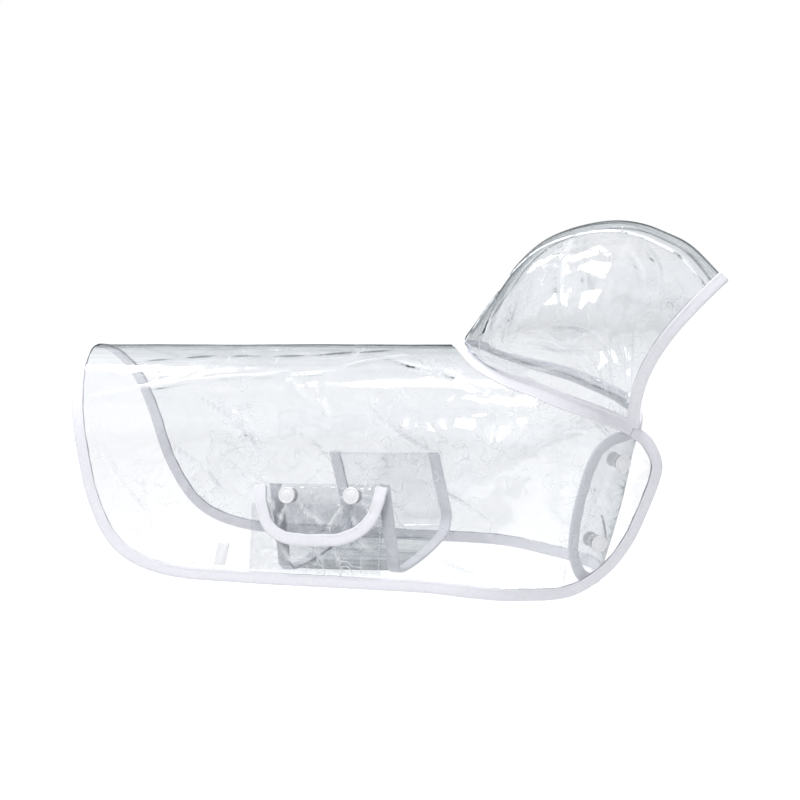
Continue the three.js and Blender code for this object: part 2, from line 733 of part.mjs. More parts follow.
// Flap: rows run from its front edge to its rear edge, and meet at the bottom
function flapPoint({ along, around }) {
  const top = flapEdge[0].around;
  const share = Math.min((around - top) / (FLAP.liftedBelow - top), 1);
  return formPoint({ along, around, lift: THREE.MathUtils.lerp(FLAP.topLift, FLAP.lift, share) });
}
const flapPlaces = mixed(0, flapEdge.length - 1, 2 * (flapEdge.length - 1));
const flapSeats = flapPlaces.map((place) => ({
  along: between(flapEdge, 'along', place),
  around: between(flapEdge, 'around', place),
}));
const flap = new Surface();
const flapEdgePoints = movedSeats(flapSeats, false, () => TAPE_OUT).map(flapPoint);
const flapInnerSeats = movedSeats(flapSeats, false, () => -TAPE_IN);
const flapInnerPoints = flapInnerSeats.map(flapPoint);
const flapEdgeIndices = flapEdgePoints.map((point) => flap.add(point));
const flapInnerIndices = flapInnerPoints.map((point) => flap.add(point));
for (let i = 0; i + 1 < flapSeats.length; i += 1) {
  flap.cell(flapInnerIndices[i], flapEdgeIndices[i], flapEdgeIndices[i + 1], flapInnerIndices[i + 1]);
}
const flapRows = mixed(0, (flapSeats.length - 1) / 2, (flapSeats.length - 1) / 2).map((i) => {
  const front = flapInnerSeats[i];
  const rear = flapInnerSeats[flapSeats.length - 1 - i];
  return mixed(0, 1, FLAP.columns).map((share) => flapPoint({
    along: THREE.MathUtils.lerp(front.along, rear.along, share),
    around: THREE.MathUtils.lerp(front.around, rear.around, share),
  }));
});
flap.grid(flapRows);
addPiece('pocket_flap', wall(flap, FILM), filmMaterial);
const flapPanel = { surface: flap, normals: flap.normals() };
addPiece('flap_binding', foldedTape(stationsOf(flapPanel, flapEdgeIndices, flapInnerIndices)), tapeMaterial);

// Belly band: down inside the right wall, across under the belly, and up inside the left wall
const bandStations = [];
for (const around of mixed(BAND.top, BAND.legEnd, BAND_LEG_STEPS)) {
  const share = (around - BAND.top) / (BAND.legEnd - BAND.top);
  bandStations.push({ around, halfShare: 1, drop: 0, lean: share * BAND.lean });
}
for (const { halfShare, drop } of bandTurn.slice(1)) {
  bandStations.push({ around: BAND.legEnd, halfShare, drop, lean: BAND.lean });
}
function bandRow(side, { around, halfShare, drop, lean }) {
  const rear = BAND.rear + lean;
  const front = BAND.front + lean;
  const inside = mixed(rear + TAPE_IN, front - TAPE_IN, BAND_COLUMNS);
  return [rear - TAPE_OUT, ...inside, front + TAPE_OUT].map((along) => {
    const point = formPoint({ along, around: side * around, lift: -BAND.inset });
    return new THREE.Vector3(point.x, point.y * halfShare, point.z - drop);
  });
}
const bandRows = [
  ...bandStations.map((station) => bandRow(-1, station)),
  ...bandStations.slice(0, -1).reverse().map((station) => bandRow(1, station)),
];
const band = new Surface();
const bandIndices = band.grid(bandRows);
addPiece('belly_band', wall(band, FILM), filmMaterial);
const bandPanel = { surface: band, normals: band.normals() };
const bandColumn = (j) => bandIndices.map((row) => row[j]);
const bandLast = bandRows[0].length - 1;
const bandTapeRear = stationsOf(bandPanel, bandColumn(0), bandColumn(1));
const bandTapeFront = stationsOf(bandPanel, bandColumn(bandLast), bandColumn(bandLast - 1));
addPiece('band_binding_rear', foldedTape(bandTapeRear), tapeMaterial);
addPiece('band_binding_front', foldedTape(bandTapeFront), tapeMaterial);

// Tab
const tab = new Surface();
tab.grid(mixed(-TAB.width / 2, TAB.width / 2, 2).map((across) => (
  mixed(TAB.bottom, TAB.top, 3).map((around) => {
    const lean = TAB.lean * ((around - TAB.bottom) / (TAB.top - TAB.bottom));
    return formPoint({ along: TAB.along + across + lean, around, lift: TAB.lift });
  })
)));
addPiece('hem_tab', wall(tab, TAPE_WALL), tapeMaterial);

// Snaps

// Lowest and highest of a film under a disc, as heights along the disc's axis. Order picks the
// film's first or its second layer from outside.
function filmHeights(surface, centre, axis, radius, order = 0) {
  const { sideways, upward } = squareTo(axis);
  const heights = [];
  const ray = new THREE.Ray();
  for (let i = 0; i <= SNAP.round; i += 1) {
    const angle = (i / SNAP.round) * 2 * Math.PI;
    const reach = i === SNAP.round ? 0 : radius;
    const start = centre.clone()
      .addScaledVector(axis, SNAP.reach)
      .addScaledVector(sideways, reach * Math.cos(angle))
      .addScaledVector(upward, reach * Math.sin(angle));
    ray.set(start, axis.clone().negate());
    const hits = [];
    for (const corners of surface.triangles) {
      const [a, b, c] = corners.map((index) => surface.points[index]);
      const hit = ray.intersectTriangle(a, b, c, false, new THREE.Vector3());
      if (hit) hits.push(SNAP.reach - hit.distanceTo(start));
    }
    hits.sort((p, q) => q - p);
    const apart = hits.filter((height, n) => n === 0 || hits[n - 1] - height > 0.01);
    heights.push(apart[order]);
  }
  return { low: Math.min(...heights), high: Math.max(...heights) };
}

function squareTo(axis) {
  const sideways = new THREE.Vector3(0, 0, 1).cross(axis).normalize();
  return { sideways, upward: axis.clone().cross(sideways) };
}

// A round solid from its profile, rows of radius and height from one end of the axis to the other
function turned(profile, centre, axis) {
  const { sideways, upward } = squareTo(axis);
  const positions = [];
  const at = (radius, height, angle) => centre.clone()
    .addScaledVector(axis, height)
    .addScaledVector(sideways, radius * Math.cos(angle))
    .addScaledVector(upward, radius * Math.sin(angle));
  for (const [radius, height] of profile) {
    for (let k = 0; k < SNAP.round; k += 1) {
      positions.push(at(radius, height, (k / SNAP.round) * 2 * Math.PI));
    }
  }
  const first = positions.push(at(0, profile[0][1], 0)) - 1;
  const last = positions.push(at(0, profile[profile.length - 1][1], 0)) - 1;
  const faces = [];
  const end = (profile.length - 1) * SNAP.round;
  for (let k = 0; k < SNAP.round; k += 1) {
    const next = (k + 1) % SNAP.round;
    faces.push([first, next, k], [last, end + k, end + next]);
    for (let j = 0; j < profile.length - 1; j += 1) {
      const a = j * SNAP.round;
      const b = a + SNAP.round;
      faces.push([a + k, a + next, b + next], [a + k, b + next, b + k]);
    }
  }
  return solid(positions, faces);
}

const CLEAR = FILM / 2 + GAP;
function profileAt(profile, radius, foot) {
  return profile.map(([inset, height]) => [radius - inset, foot + height]);
}

function addCap(name, centre, axis, film) {
  const profile = profileAt(CAP_PROFILE, SNAP.cap, film.high + CLEAR);
  addPiece(`${name}_cap`, turned(profile, centre, axis), snapMaterial);
}
function addMiddle(name, centre, axis, outerFilm, innerFilm) {
  const low = innerFilm.high + CLEAR;
  const high = outerFilm.low - CLEAR;
  addPiece(name, turned([[SNAP.middle, low], [SNAP.middle, high]], centre, axis), snapMaterial);
}
function addBack(name, centre, axis, film) {
  const profile = profileAt(BACK_PROFILE, SNAP.back, film.low - CLEAR - SNAP.backHeight);
  addPiece(`${name}_back`, turned(profile, centre, axis), snapMaterial);
}

for (const { name, along, around } of FLAP_SNAPS) {
  const centre = formPoint({ along, around });
  const axis = formNormal({ along, around });
  const [flapFilm, capeFilm, bandFilm] = [flap, cape, band].map((surface) => (
    filmHeights(surface, centre, axis, SNAP.cap)
  ));
  addCap(name, centre, axis, flapFilm);
  addMiddle(`${name}_stud`, centre, axis, flapFilm, capeFilm);
  addMiddle(`${name}_socket`, centre, axis, capeFilm, bandFilm);
  addBack(name, centre, axis, bandFilm);
}
for (const { name, ...seat } of FRONT_SNAPS) {
  const centre = formPoint(seat);
  const axis = formNormal(seat);
  const rightFilm = filmHeights(cape, centre, axis, SNAP.cap, 0);
  const leftFilm = filmHeights(cape, centre, axis, SNAP.cap, 1);
  addCap(name, centre, axis, rightFilm);
  addMiddle(`${name}_socket`, centre, axis, rightFilm, leftFilm);
  addBack(name, centre, axis, leftFilm);
}

export default group;
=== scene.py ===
# %% [markdown]
# # A clear hooded dog raincoat
# The coat is film you can see through, so its edges, folds and reflections do most of the work.
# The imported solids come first, as a fixed frame, and every piece below sits where they say.

# %% Frame
import math

import bmesh
import bpy
import numpy as np
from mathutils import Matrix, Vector


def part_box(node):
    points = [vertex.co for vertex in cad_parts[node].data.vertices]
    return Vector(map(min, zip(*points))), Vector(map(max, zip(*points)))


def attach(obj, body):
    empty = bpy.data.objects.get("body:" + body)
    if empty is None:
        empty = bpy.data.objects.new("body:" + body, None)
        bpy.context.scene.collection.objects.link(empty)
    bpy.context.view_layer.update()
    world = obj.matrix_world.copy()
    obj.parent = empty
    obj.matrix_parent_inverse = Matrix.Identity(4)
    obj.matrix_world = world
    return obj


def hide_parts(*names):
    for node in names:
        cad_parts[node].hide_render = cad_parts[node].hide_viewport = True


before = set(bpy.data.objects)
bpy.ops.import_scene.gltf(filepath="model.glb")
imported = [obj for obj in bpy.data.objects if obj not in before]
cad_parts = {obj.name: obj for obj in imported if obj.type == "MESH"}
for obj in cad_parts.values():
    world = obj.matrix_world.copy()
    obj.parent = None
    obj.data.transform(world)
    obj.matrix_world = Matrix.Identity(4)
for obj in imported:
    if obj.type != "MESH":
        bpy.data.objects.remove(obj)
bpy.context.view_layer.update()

MM = 0.001
bpy.ops.object.select_all(action="DESELECT")

# %% [markdown]
# ## The coat's form
# A worn coat is an arch over the back, straight flanks and a round front. A place on it has two
# coordinates, like a tailor's tape laid on the cloth: along, forward down the side, and around,
# from the spine over the side. Lengths are in millimetres, as on the pattern.

# %% Sizes of the form
BACK_RADIUS = 78.0
FLANK_ANGLE = math.radians(80)
BACK_RISE = 0.023
NAPE_X = 143.0
FRONT_TURN = 120.0
TURN_START = 196.0
TURN_DEPTH = 70.0
CHEST_RAKE = 0.43
TURN_RISE_LIMIT = -28.0
ALL_ROUND = 200.0
ALONG, AROUND, TURN, LIFT = range(4)

TAPE_OUT = 2.9
TAPE_IN = 4.7
SEAM_RISE = 3.4
SEAM_SETBACK = 1.3

# %% Rows of the pattern, from the right front corner over the nape to the left front corner
# neck along, around, turn, lift, then the same four at the hem
RIGHT_FRONT = [
    (308, -123, 36, 0, 308, -123, 36, 0),
    (303, -108.5, 40, 0, 305.5, -136, 35, 0),
    (292.5, -99, 45, 0, 295, -159, 35, 0),
    (279, -92, 45, 0, 282, -182, 35, 0),
    (266, -86.5, 50, 0, 263, -202, 36, 0),
    (252, -81.5, 60, 0, 234, -215.5, 36, 0),
]
RIGHT_SIDE = [
    (237, -76, 90, 0, 195, -215, 40, 0),
    (220, -69, 90, 0, 150, -210, 90, 0),
    (201, -62, 90, 0, 81, -208, 90, 0),
    (187, -56, 90, 0, 2, -206, 90, 0),
    (176, -49, 90, 0, -56, -202, 90, 0),
    (168, -43, 90, 0, -93, -186, 90, 0),
    (162, -36, 90, 0, -115, -152, 90, 0),
    (157, -29, 90, 0, -128, -106, 90, 0),
    (152, -20, 90, 0, -136, -69, 90, 0),
    (147, -10, 90, 0, -143, -36, 90, 0),
]
SPINE = (NAPE_X, 0, 90, 0, -148.5, 0, 90, 0)
LEFT_FRONT = [
    (252, 81.5, ALL_ROUND, 0, 236, 215, ALL_ROUND, 0),
    (263, 85, ALL_ROUND, 0, 268, 215, ALL_ROUND, 1),
    (275, 88.5, ALL_ROUND, 0, 296, 212, ALL_ROUND, 3.6),
    (286, 91.5, ALL_ROUND, 0, 316, 205, ALL_ROUND, 4),
    (312, 98, ALL_ROUND, 0.8, 332, 187, ALL_ROUND, -1.7),
    (335, 101.5, ALL_ROUND, 1.6, 349, 161, ALL_ROUND, -3),
    (351, 103.5, ALL_ROUND, 0.6, 361, 137, ALL_ROUND, -3),
    (362, 106, ALL_ROUND, -1.7, 367, 122, ALL_ROUND, -2.9),
    (368, 112, ALL_ROUND, -2.8, 368, 112, ALL_ROUND, -2.8),
]
MIRROR = np.array([1, -1, 1, 1, 1, -1, 1, 1])
left_side = [tuple(np.array(row) * MIRROR) for row in reversed(RIGHT_SIDE)]
PATTERN = np.array([*RIGHT_FRONT, *RIGHT_SIDE, SPINE, *left_side, *LEFT_FRONT], dtype=float)
LAST_LINE = len(PATTERN) - 1
SPINE_LINE = len(RIGHT_FRONT) + len(RIGHT_SIDE)
RIGHT_CORNER = 2
LEFT_CORNER = 30
TAPE_MEET = 0.02
NECK, HEM = slice(0, 4), slice(4, 8)


def read_rows(rows, places):
    """Smooth values between the rows of a table, at row numbers with fractions."""
    places = np.asarray(places, dtype=float)
    last = len(rows) - 1
    i = np.clip(np.floor(places), 0, last - 1).astype(int)
    f = (places - i)[..., None]
    b, c = rows[i], rows[i + 1]
    a = np.where((i > 0)[..., None], rows[np.maximum(i - 1, 0)], 2 * b - c)
    d = np.where((i + 2 <= last)[..., None], rows[np.minimum(i + 2, last)], 2 * c - b)
    bend = (2 * a - 5 * b + 4 * c - d) * f**2 + (3 * b - a - 3 * c + d) * f**3
    return b + 0.5 * ((c - a) * f + bend)


print("pattern:", len(PATTERN), "cut lines")


# %% Places on the form
def form_points(seats):
    """Points in millimetres of seats, whose last axis is along, around, turn, lift."""
    along, around, turn, lift = (seats[..., k] for k in range(4))
    arch = BACK_RADIUS * FLANK_ANGLE
    bend = np.minimum(abs(around), arch) / BACK_RADIUS
    flank = np.maximum(abs(around) - arch, 0)
    half = BACK_RADIUS * np.sin(bend) + flank * math.cos(FLANK_ANGLE)
    drop = BACK_RADIUS * (1 - np.cos(bend)) + flank * math.sin(FLANK_ANGLE)
    start = TURN_START - CHEST_RAKE * np.maximum(drop - TURN_DEPTH, TURN_RISE_LIMIT)
    width = half + lift
    whole = np.maximum(along - start, 0) / FRONT_TURN * 90
    angle = np.radians(np.minimum(whole, turn))
    straight = np.maximum(whole - turn, 0) / 90 * FRONT_TURN
    x = np.minimum(along, start) + width * np.sin(angle) + straight * np.cos(angle)
    y = width * np.cos(angle) - straight * np.sin(angle)
    z = BACK_RISE * np.minimum(along, NAPE_X) - drop
    return np.stack([x, np.sign(around) * y, z], axis=-1)


def unit(vectors):
    """Vectors of length 1."""
    return vectors / np.maximum(np.linalg.norm(vectors, axis=-1, keepdims=True), 1e-9)


def directions(seats, step=0.5):
    """The form's steps forward and around at each seat, for one millimetre of cloth."""
    here = form_points(seats)
    move = np.zeros(4)
    move[ALONG] = step
    forward = (form_points(seats + move) - here) / step
    move[:] = 0
    move[AROUND] = step
    return forward, (form_points(seats + move) - here) / step


def form_normals(seats):
    """Directions out of the form."""
    forward, across = directions(seats)
    return unit(np.cross(forward, across))


def seats_moved(seats, moves):
    """Seats moved over the form by vectors that lie in its surface."""
    forward, across = directions(seats)
    ff, fa, aa = (np.sum(p * q, axis=-1) for p, q in ((forward, forward), (forward, across), (across, across)))
    mf, ma = np.sum(moves * forward, axis=-1), np.sum(moves * across, axis=-1)
    scale = ff * aa - fa**2
    moved = seats.copy()
    moved[..., ALONG] += (mf * aa - ma * fa) / scale
    moved[..., AROUND] += (ma * ff - mf * fa) / scale
    return moved


print("a point of the flank:", form_points(np.array([60.0, -150.0, 90.0, 0.0])).round(1))

# %% [markdown]
# ## Creases
# Film keeps the lines where it was folded in its bag, and it buckles near seams and snaps. Each
# crease is one row: its two ends on the cloth, its width, its height out of the cloth, less than 0
# for a trough, and how far it bows to one side. A crease fades out at its ends and its sides.

# %% Creases of the cape and the hood
# from along, from around, to along, to around, width, height, bow
LARGE_FOLDS = [
    (-150, -74, 120, -62, 22, 1.6, 0),
    (150, -150, 205, -95, 26, 2.2, 0),
    (-70, -180, -20, -110, 24, -1.8, 0),
    (-150, 70, 110, 66, 22, 1.5, 0),
    (140, 155, 200, 100, 26, 2.0, 0),
    (-60, 185, 0, 105, 24, -1.7, 0),
]
# the right side, as seen
RIGHT_CREASES = [
    (-140, -76, -45, -59, 3.0, 1.0, 1),
    (-90, -67, 30, -49, 3.0, 1.0, -1),
    (-26, -57, 72, -47, 3.0, 0.9, 1),
    (-57, -60, -35, -46, 2.6, 0.8, 1),
    (64, -44, 112, -27, 2.8, 0.9, -2),
    (88, -27, 158, -53, 2.8, -0.9, 3),
    (27, -54, 42, -74, 2.6, 0.9, 1),
    (38, -71, 66, -89, 2.8, 0.9, -1),
    (43, -54, 65, -88, 2.6, -0.8, 1),
    (-25, -68, -6, -91, 2.4, 0.9, 1),
    (-17, -77, 7, -99, 2.4, -0.9, -1),
    (-10, -87, 15, -110, 2.4, 0.9, 1),
    (-12, -110, 20, -112, 2.4, 0.8, 1),
    (-9, -111, 3, -96, 2.2, 0.8, 0),
    (-1, -82, -16, -96, 2.2, -0.8, 1),
    (126, -36, 165, -60, 2.6, 0.8, 1),
    (138, -48, 175, -71, 2.6, -0.8, -1),
    (203, -57, 238, -70, 2.6, 0.8, -1),
    (2, -125, 28, -141, 2.4, 0.8, 2),
    (5, -142, 20, -123, 2.2, -0.7, 1),
    (68, -136, 110, -153, 2.6, 0.8, 2),
    (231, -98, 256, -97, 2.4, 0.9, -3),
    (235, -178, 225, -209, 2.0, 0.7, 1),
    (240, -179, 230, -210, 2.0, -0.7, 1),
    (150, -190, 200, -204, 3, 0.7, 2),
    (-110, -110, -60, -168, 4, -0.8, 6),
    (262, -128, 282, -170, 3, 0.6, 3),
]
# the left side, which is hidden: similar ones, placed and sized unlike the right side's
LEFT_CREASES = [
    (-148, 60, -10, 48, 3.2, 0.9, 3),
    (-30, 50, 96, 34, 2.8, 0.7, -3),
    (-90, 90, -30, 150, 4, -0.8, 6),
    (-10, 120, 26, 152, 2.8, 0.8, 3),
    (50, 96, 112, 140, 3.4, -0.8, -4),
    (90, 160, 150, 196, 3, 0.7, 3),
    (160, 76, 206, 92, 2.8, 0.8, 3),
    (200, 92, 262, 128, 2.8, -0.7, 4),
    (228, 150, 262, 200, 3, 0.7, -4),
    (-120, 130, -70, 176, 4, 0.7, 4),
]
CAPE_CREASES = LARGE_FOLDS + RIGHT_CREASES + LEFT_CREASES
LINE_LENGTH = 14.0
HOOD_SIDE_LENGTH = 95.0
# from cut line, from share up the side, to cut line, to share, width, height, bow
HOOD_CREASES = [
    (5.2, 0.35, 5.0, 1.0, 11, 1.5, 0),
    (7.5, 0.1, 6.2, 0.75, 12, -1.5, 0),
    (10.5, 0.2, 8.6, 0.9, 12, 1.3, 0),
    (6.6, 0.45, 6.9, 0.98, 2.2, 0.8, 2),
    (9.2, 0.15, 5.2, 0.22, 3, 0.8, -5),
    (8.4, 0.3, 4.6, 0.12, 2.4, -0.6, 4),
    (2.6, 0.05, 4.4, 0.42, 3, 0.8, 3),
    (3.1, 0.03, 5.6, 0.3, 2.4, -0.7, -3),
    (10.8, 0.3, 9.4, 0.86, 2.2, 0.7, 3),
    (11.4, 0.2, 10.2, 0.8, 1.8, -0.6, 2),
    (3.4, 0.62, 4.8, 0.86, 2.6, 0.6, -3),
]
HOOD_FLAT_CREASES = [
    (a * LINE_LENGTH, b * HOOD_SIDE_LENGTH, c * LINE_LENGTH, d * HOOD_SIDE_LENGTH, *rest)
    for a, b, c, d, *rest in HOOD_CREASES
]


def crease_heights(creases, along, around):
    """Heights of all the creases of a table at places of the cloth."""
    height = np.zeros(np.broadcast(along, around).shape)
    for from_along, from_around, to_along, to_around, width, rise, bow in creases:
        length = math.hypot(to_along - from_along, to_around - from_around)
        ax, ay = (to_along - from_along) / length, (to_around - from_around) / length
        dx, dy = along - from_along, around - from_around
        run = np.clip((dx * ax + dy * ay) / length, 0, 1)
        side = dx * ay - dy * ax - bow * np.sin(math.pi * run)
        off = np.clip(abs(side) / width, 0, 1)
        height += rise * np.sin(math.pi * run) * (0.5 + 0.5 * np.cos(math.pi * off))
    return height


def painted_crease_light(creases, along, around):
    """Painted light of the creases: a painted highlight along each crest, above 0, and the painted shade beside it.
    """
    marks = np.zeros(np.broadcast(along, around).shape)
    for from_along, from_around, to_along, to_around, width, rise, bow in creases:
        length = math.hypot(to_along - from_along, to_around - from_around)
        ax, ay = (to_along - from_along) / length, (to_around - from_around) / length
        dx, dy = along - from_along, around - from_around
        run = np.clip((dx * ax + dy * ay) / length, 0, 1)
        side = (dx * ay - dy * ax - bow * np.sin(math.pi * run)) / min(max(width, 3.2), 5.0)
        uneven = 0.6 + 0.4 * np.sin(run * length / 6.3 + 3 * bow)
        strength = np.sin(math.pi * run) ** 0.6 * uneven * min(1.0, 3.2 / width)
        # a painted highlight along the crest, and painted shade to one side of it
        crest = np.exp(-((side / 0.42) ** 2))
        shade = np.exp(-(((side - 0.95) / 0.6) ** 2))
        marks += strength * (crest - 0.75 * shade)
    return np.clip(marks, -1, 1)


def small_ripples(points, strength):
    """Slow uneven ripples, so that no stretch of film is perfectly smooth."""
    x, y, z = points[..., 0], points[..., 1], points[..., 2]
    slow = np.sin(x / 23 + 1.7 * np.sin(z / 31)) * np.sin(z / 17 + 0.8 + y / 29)
    quick = np.sin(x / 9.5 + z / 12 + 2.1) * np.sin(z / 8 - x / 27 + y / 13)
    return strength * (0.7 * slow + 0.3 * quick)


print("creases:", len(CAPE_CREASES), "on the cape,", len(HOOD_CREASES), "on each side of the hood")

# %% [markdown]
# ## Turning cloth into a mesh
# A sheet of film is a grid of points, so it is made in mesh code and given its thickness by a
# Solidify modifier, which is then applied. Real film is about a third of a millimetre thick.

# %% Mesh helpers
FILM = 0.36


def make_mesh(name, points, faces, uv=None, marks=None):
    """A smooth-shaded object from points in millimetres, with doubles merged and normals outward."""
    mesh = bpy.data.meshes.new(name)
    mesh.from_pydata((points * MM).tolist(), [], faces)
    if uv is not None:
        layer = mesh.uv_layers.new(name="UVMap")
        corners = np.empty(len(mesh.loops), dtype=np.int32)
        mesh.loops.foreach_get("vertex_index", corners)
        layer.data.foreach_set("uv", (uv[corners] * MM).ravel())
    if marks is not None:
        # the crease attribute carries the painted highlights and painted shade of the creases
        mesh.attributes.new("crease", "FLOAT", "POINT").data.foreach_set("value", marks.astype(np.float32))
    shape = bmesh.new()
    shape.from_mesh(mesh)
    bmesh.ops.remove_doubles(shape, verts=shape.verts, dist=1e-6)
    bmesh.ops.dissolve_degenerate(shape, edges=shape.edges, dist=1e-7)
    bmesh.ops.recalc_face_normals(shape, faces=shape.faces)
    shape.to_mesh(mesh)
    shape.free()
    mesh.shade_smooth()
    piece = bpy.data.objects.new(name, mesh)
    bpy.context.collection.objects.link(piece)
    return piece


def grid_faces(rows, columns, start=0, closed=False):
    """Quads of a grid; closed joins the last column to the first."""
    faces = []
    for i in range(rows - 1):
        for j in range(columns if closed else columns - 1):
            a = start + i * columns + j
            b = start + i * columns + (j + 1) % columns
            faces.append((a, b, b + columns, a + columns))
    return faces


def apply_modifier(piece, kind, **settings):
    """Adds a modifier, as from the Properties editor, and applies it."""
    modifier = piece.modifiers.new(kind.title(), kind)
    for key, value in settings.items():
        setattr(modifier, key, value)
    bpy.ops.object.select_all(action="DESELECT")
    piece.select_set(True)
    bpy.context.view_layer.objects.active = piece
    bpy.ops.object.modifier_apply(modifier=modifier.name)
    piece.select_set(False)


def run_of(points):
    """Length along a line of points at each of them."""
    return np.concatenate([[0], np.cumsum(np.linalg.norm(np.diff(points, axis=0), axis=-1))])


def area_of(piece):
    """The mesh's area in square metres."""
    return sum(face.area for face in piece.data.polygons)


def film_from(name, points, faces, node, uv, creases):
    """A film panel with its thickness, with the painted highlights and shade of its creases kept on its points, in
    place of its imported part.

    The cut's area is that of the flat pattern, or for a moulded panel, whose pattern isn't known,
    the area of the panel itself.
    """
    uv = uv.reshape(-1, 2)
    piece = make_mesh(name, points.reshape(-1, 3), faces, uv, painted_crease_light(creases, uv[:, 0], uv[:, 1]))
    apply_modifier(piece, "SOLIDIFY", thickness=FILM * MM, offset=0.0, use_rim=True)
    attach(piece, "root")
    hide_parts(node)
    return piece


# %% [markdown]
# ## The cape
# One panel covers the back, both sides and the front. Its outline is worked out first, as one
# closed line, and the film is then filled in between the neck side and the hem side.

# %% Outline of the cape
OUTLINE = np.concatenate([PATTERN[:, HEM], PATTERN[-2:0:-1, NECK]])
OUTLINE_END = len(OUTLINE)


def read_loop(rows, places):
    """Smooth values round a closed table, at row numbers with fractions."""
    places = np.asarray(places, dtype=float) % len(rows)
    i = np.floor(places).astype(int)
    f = (places - i)[..., None]
    a, b, c, d = (rows[(i + k) % len(rows)] for k in (-1, 0, 1, 2))
    bend = (2 * a - 5 * b + 4 * c - d) * f**2 + (3 * b - a - 3 * c + d) * f**3
    return b + 0.5 * ((c - a) * f + bend)


def neck_place(line):
    """Where a cut line of the neck side lies in the outline."""
    return 2 * LAST_LINE - np.asarray(line, dtype=float)


def outward_of(places):
    """Seats of the outline, and unit vectors in the cloth, square to it and away from its inside."""
    seats = read_loop(OUTLINE, places)
    step = 0.03
    ahead = form_points(read_loop(OUTLINE, places + step))
    tangents = unit(ahead - form_points(read_loop(OUTLINE, places - step)))
    return seats, unit(np.cross(form_normals(seats), tangents))


def outline_seats(places, distance):
    """Seats beside the outline: outside it at a positive distance, inside at a negative one."""
    places = np.asarray(places, dtype=float)
    seats, outward = outward_of(places)
    return seats_moved(seats, outward * np.broadcast_to(distance, places.shape)[..., None])


def even_places(first, last, points_at, spacing):
    """Places from first to last that lie about the same length of cloth apart."""
    dense = np.linspace(first, last, 2400)
    steps = np.linalg.norm(np.diff(points_at(dense), axis=0), axis=-1)
    length = np.concatenate([[0], np.cumsum(steps)])
    count = max(int(round(length[-1] / spacing)), 2)
    return np.interp(np.linspace(0, length[-1], count + 1), length, dense), length[-1]


print("outline:", OUTLINE_END, "rows")

# %% Film of the cape
CAPE_ROWS = 84
CAPE_SPACING = 2.0


def cape_points(seats):
    """Points of the creased cape film."""
    rise = crease_heights(CAPE_CREASES, seats[..., ALONG], seats[..., AROUND])
    points = form_points(seats)
    rise += small_ripples(points, 0.25)
    return points + form_normals(seats) * rise[..., None]


def cape_middle(lines):
    """Points halfway between the neck and the hem on cut lines, to space the film's rows."""
    return form_points((read_rows(PATTERN[:, NECK], lines) + read_rows(PATTERN[:, HEM], lines)) / 2)


lines, middle_length = even_places(0, LAST_LINE, cape_middle, CAPE_SPACING)
inner_hem = outline_seats(lines, -TAPE_IN)
inner_neck = outline_seats(neck_place(lines), -TAPE_IN)
inner_neck[[0, -1]] = inner_hem[[0, -1]]
shares = np.linspace(0, 1, CAPE_ROWS + 1)[None, :, None]
field = inner_neck[:, None, :] * (1 - shares) + inner_hem[:, None, :] * shares
ring = np.concatenate([lines, neck_place(lines[-2:0:-1])])
seam_share = (ring > neck_place(LEFT_CORNER)) & (ring < neck_place(RIGHT_CORNER))
edge_seats = outline_seats(ring, np.where(seam_share, SEAM_RISE - SEAM_SETBACK, TAPE_OUT))
ring_seats = np.stack([outline_seats(ring, -TAPE_IN), edge_seats], axis=1)
field_points = cape_points(field).reshape(-1, 3)
cape_faces = grid_faces(len(lines), CAPE_ROWS + 1)
start = len(field_points)
for i in range(len(ring)):
    a, b = start + 2 * i, start + 2 * ((i + 1) % len(ring))
    cape_faces.append((a, b, b + 1, a + 1))
cape_cloud = np.concatenate([field_points, cape_points(ring_seats).reshape(-1, 3)])
cape_uv = np.concatenate([field[..., :2].reshape(-1, 2), ring_seats[..., :2].reshape(-1, 2)])
cape = film_from("cape_film", cape_cloud, cape_faces, "cape", cape_uv, CAPE_CREASES)

# %% [markdown]
# ## The hood
# A hood of three panels: two sides and a narrow centre panel over the crown. Every panel follows
# arches that stand on the neck seam. An arch bulges to its widest place and closes at the crest.

# %% Arches of the hood
# cut line, crest x, crest z, half width, forward bow
ARCHES = np.array([
    (2, 336.5, 56, 57, -13),
    (3, 314, 78, 62, -6),
    (4, 296, 87.5, 66, -3),
    (5, 276, 94.5, 68, 0),
    (6, 254.5, 96, 69, 0),
    (7, 229, 91, 68, 0),
    (8, 207, 81.5, 65, 0),
    (9, 189, 65.5, 60, 0),
    (10, 176, 47, 53, 0),
    (11, 165.5, 33, 45, 0),
    (12, 157.5, 21.5, 38, 0),
    (13, 150.5, 12, 31, 0),
], dtype=float)
ARCH_WAIST = 0.36
CENTRE_HALF = 27.0
HOOD_FIRST, HOOD_LAST = 2.0, 13.0


def seam_seats(places):
    """Seats of the neck seam, which lies above the neck tape's centre line."""
    places = np.asarray(places, dtype=float)
    seats = read_rows(PATTERN[:, NECK], places)
    step = 0.25
    tangents = form_points(read_rows(PATTERN[:, NECK], places - step)) - form_points(read_rows(PATTERN[:, NECK], places + step))
    upward = unit(np.cross(form_normals(seats), tangents))
    return seats_moved(seats, upward * SEAM_RISE)


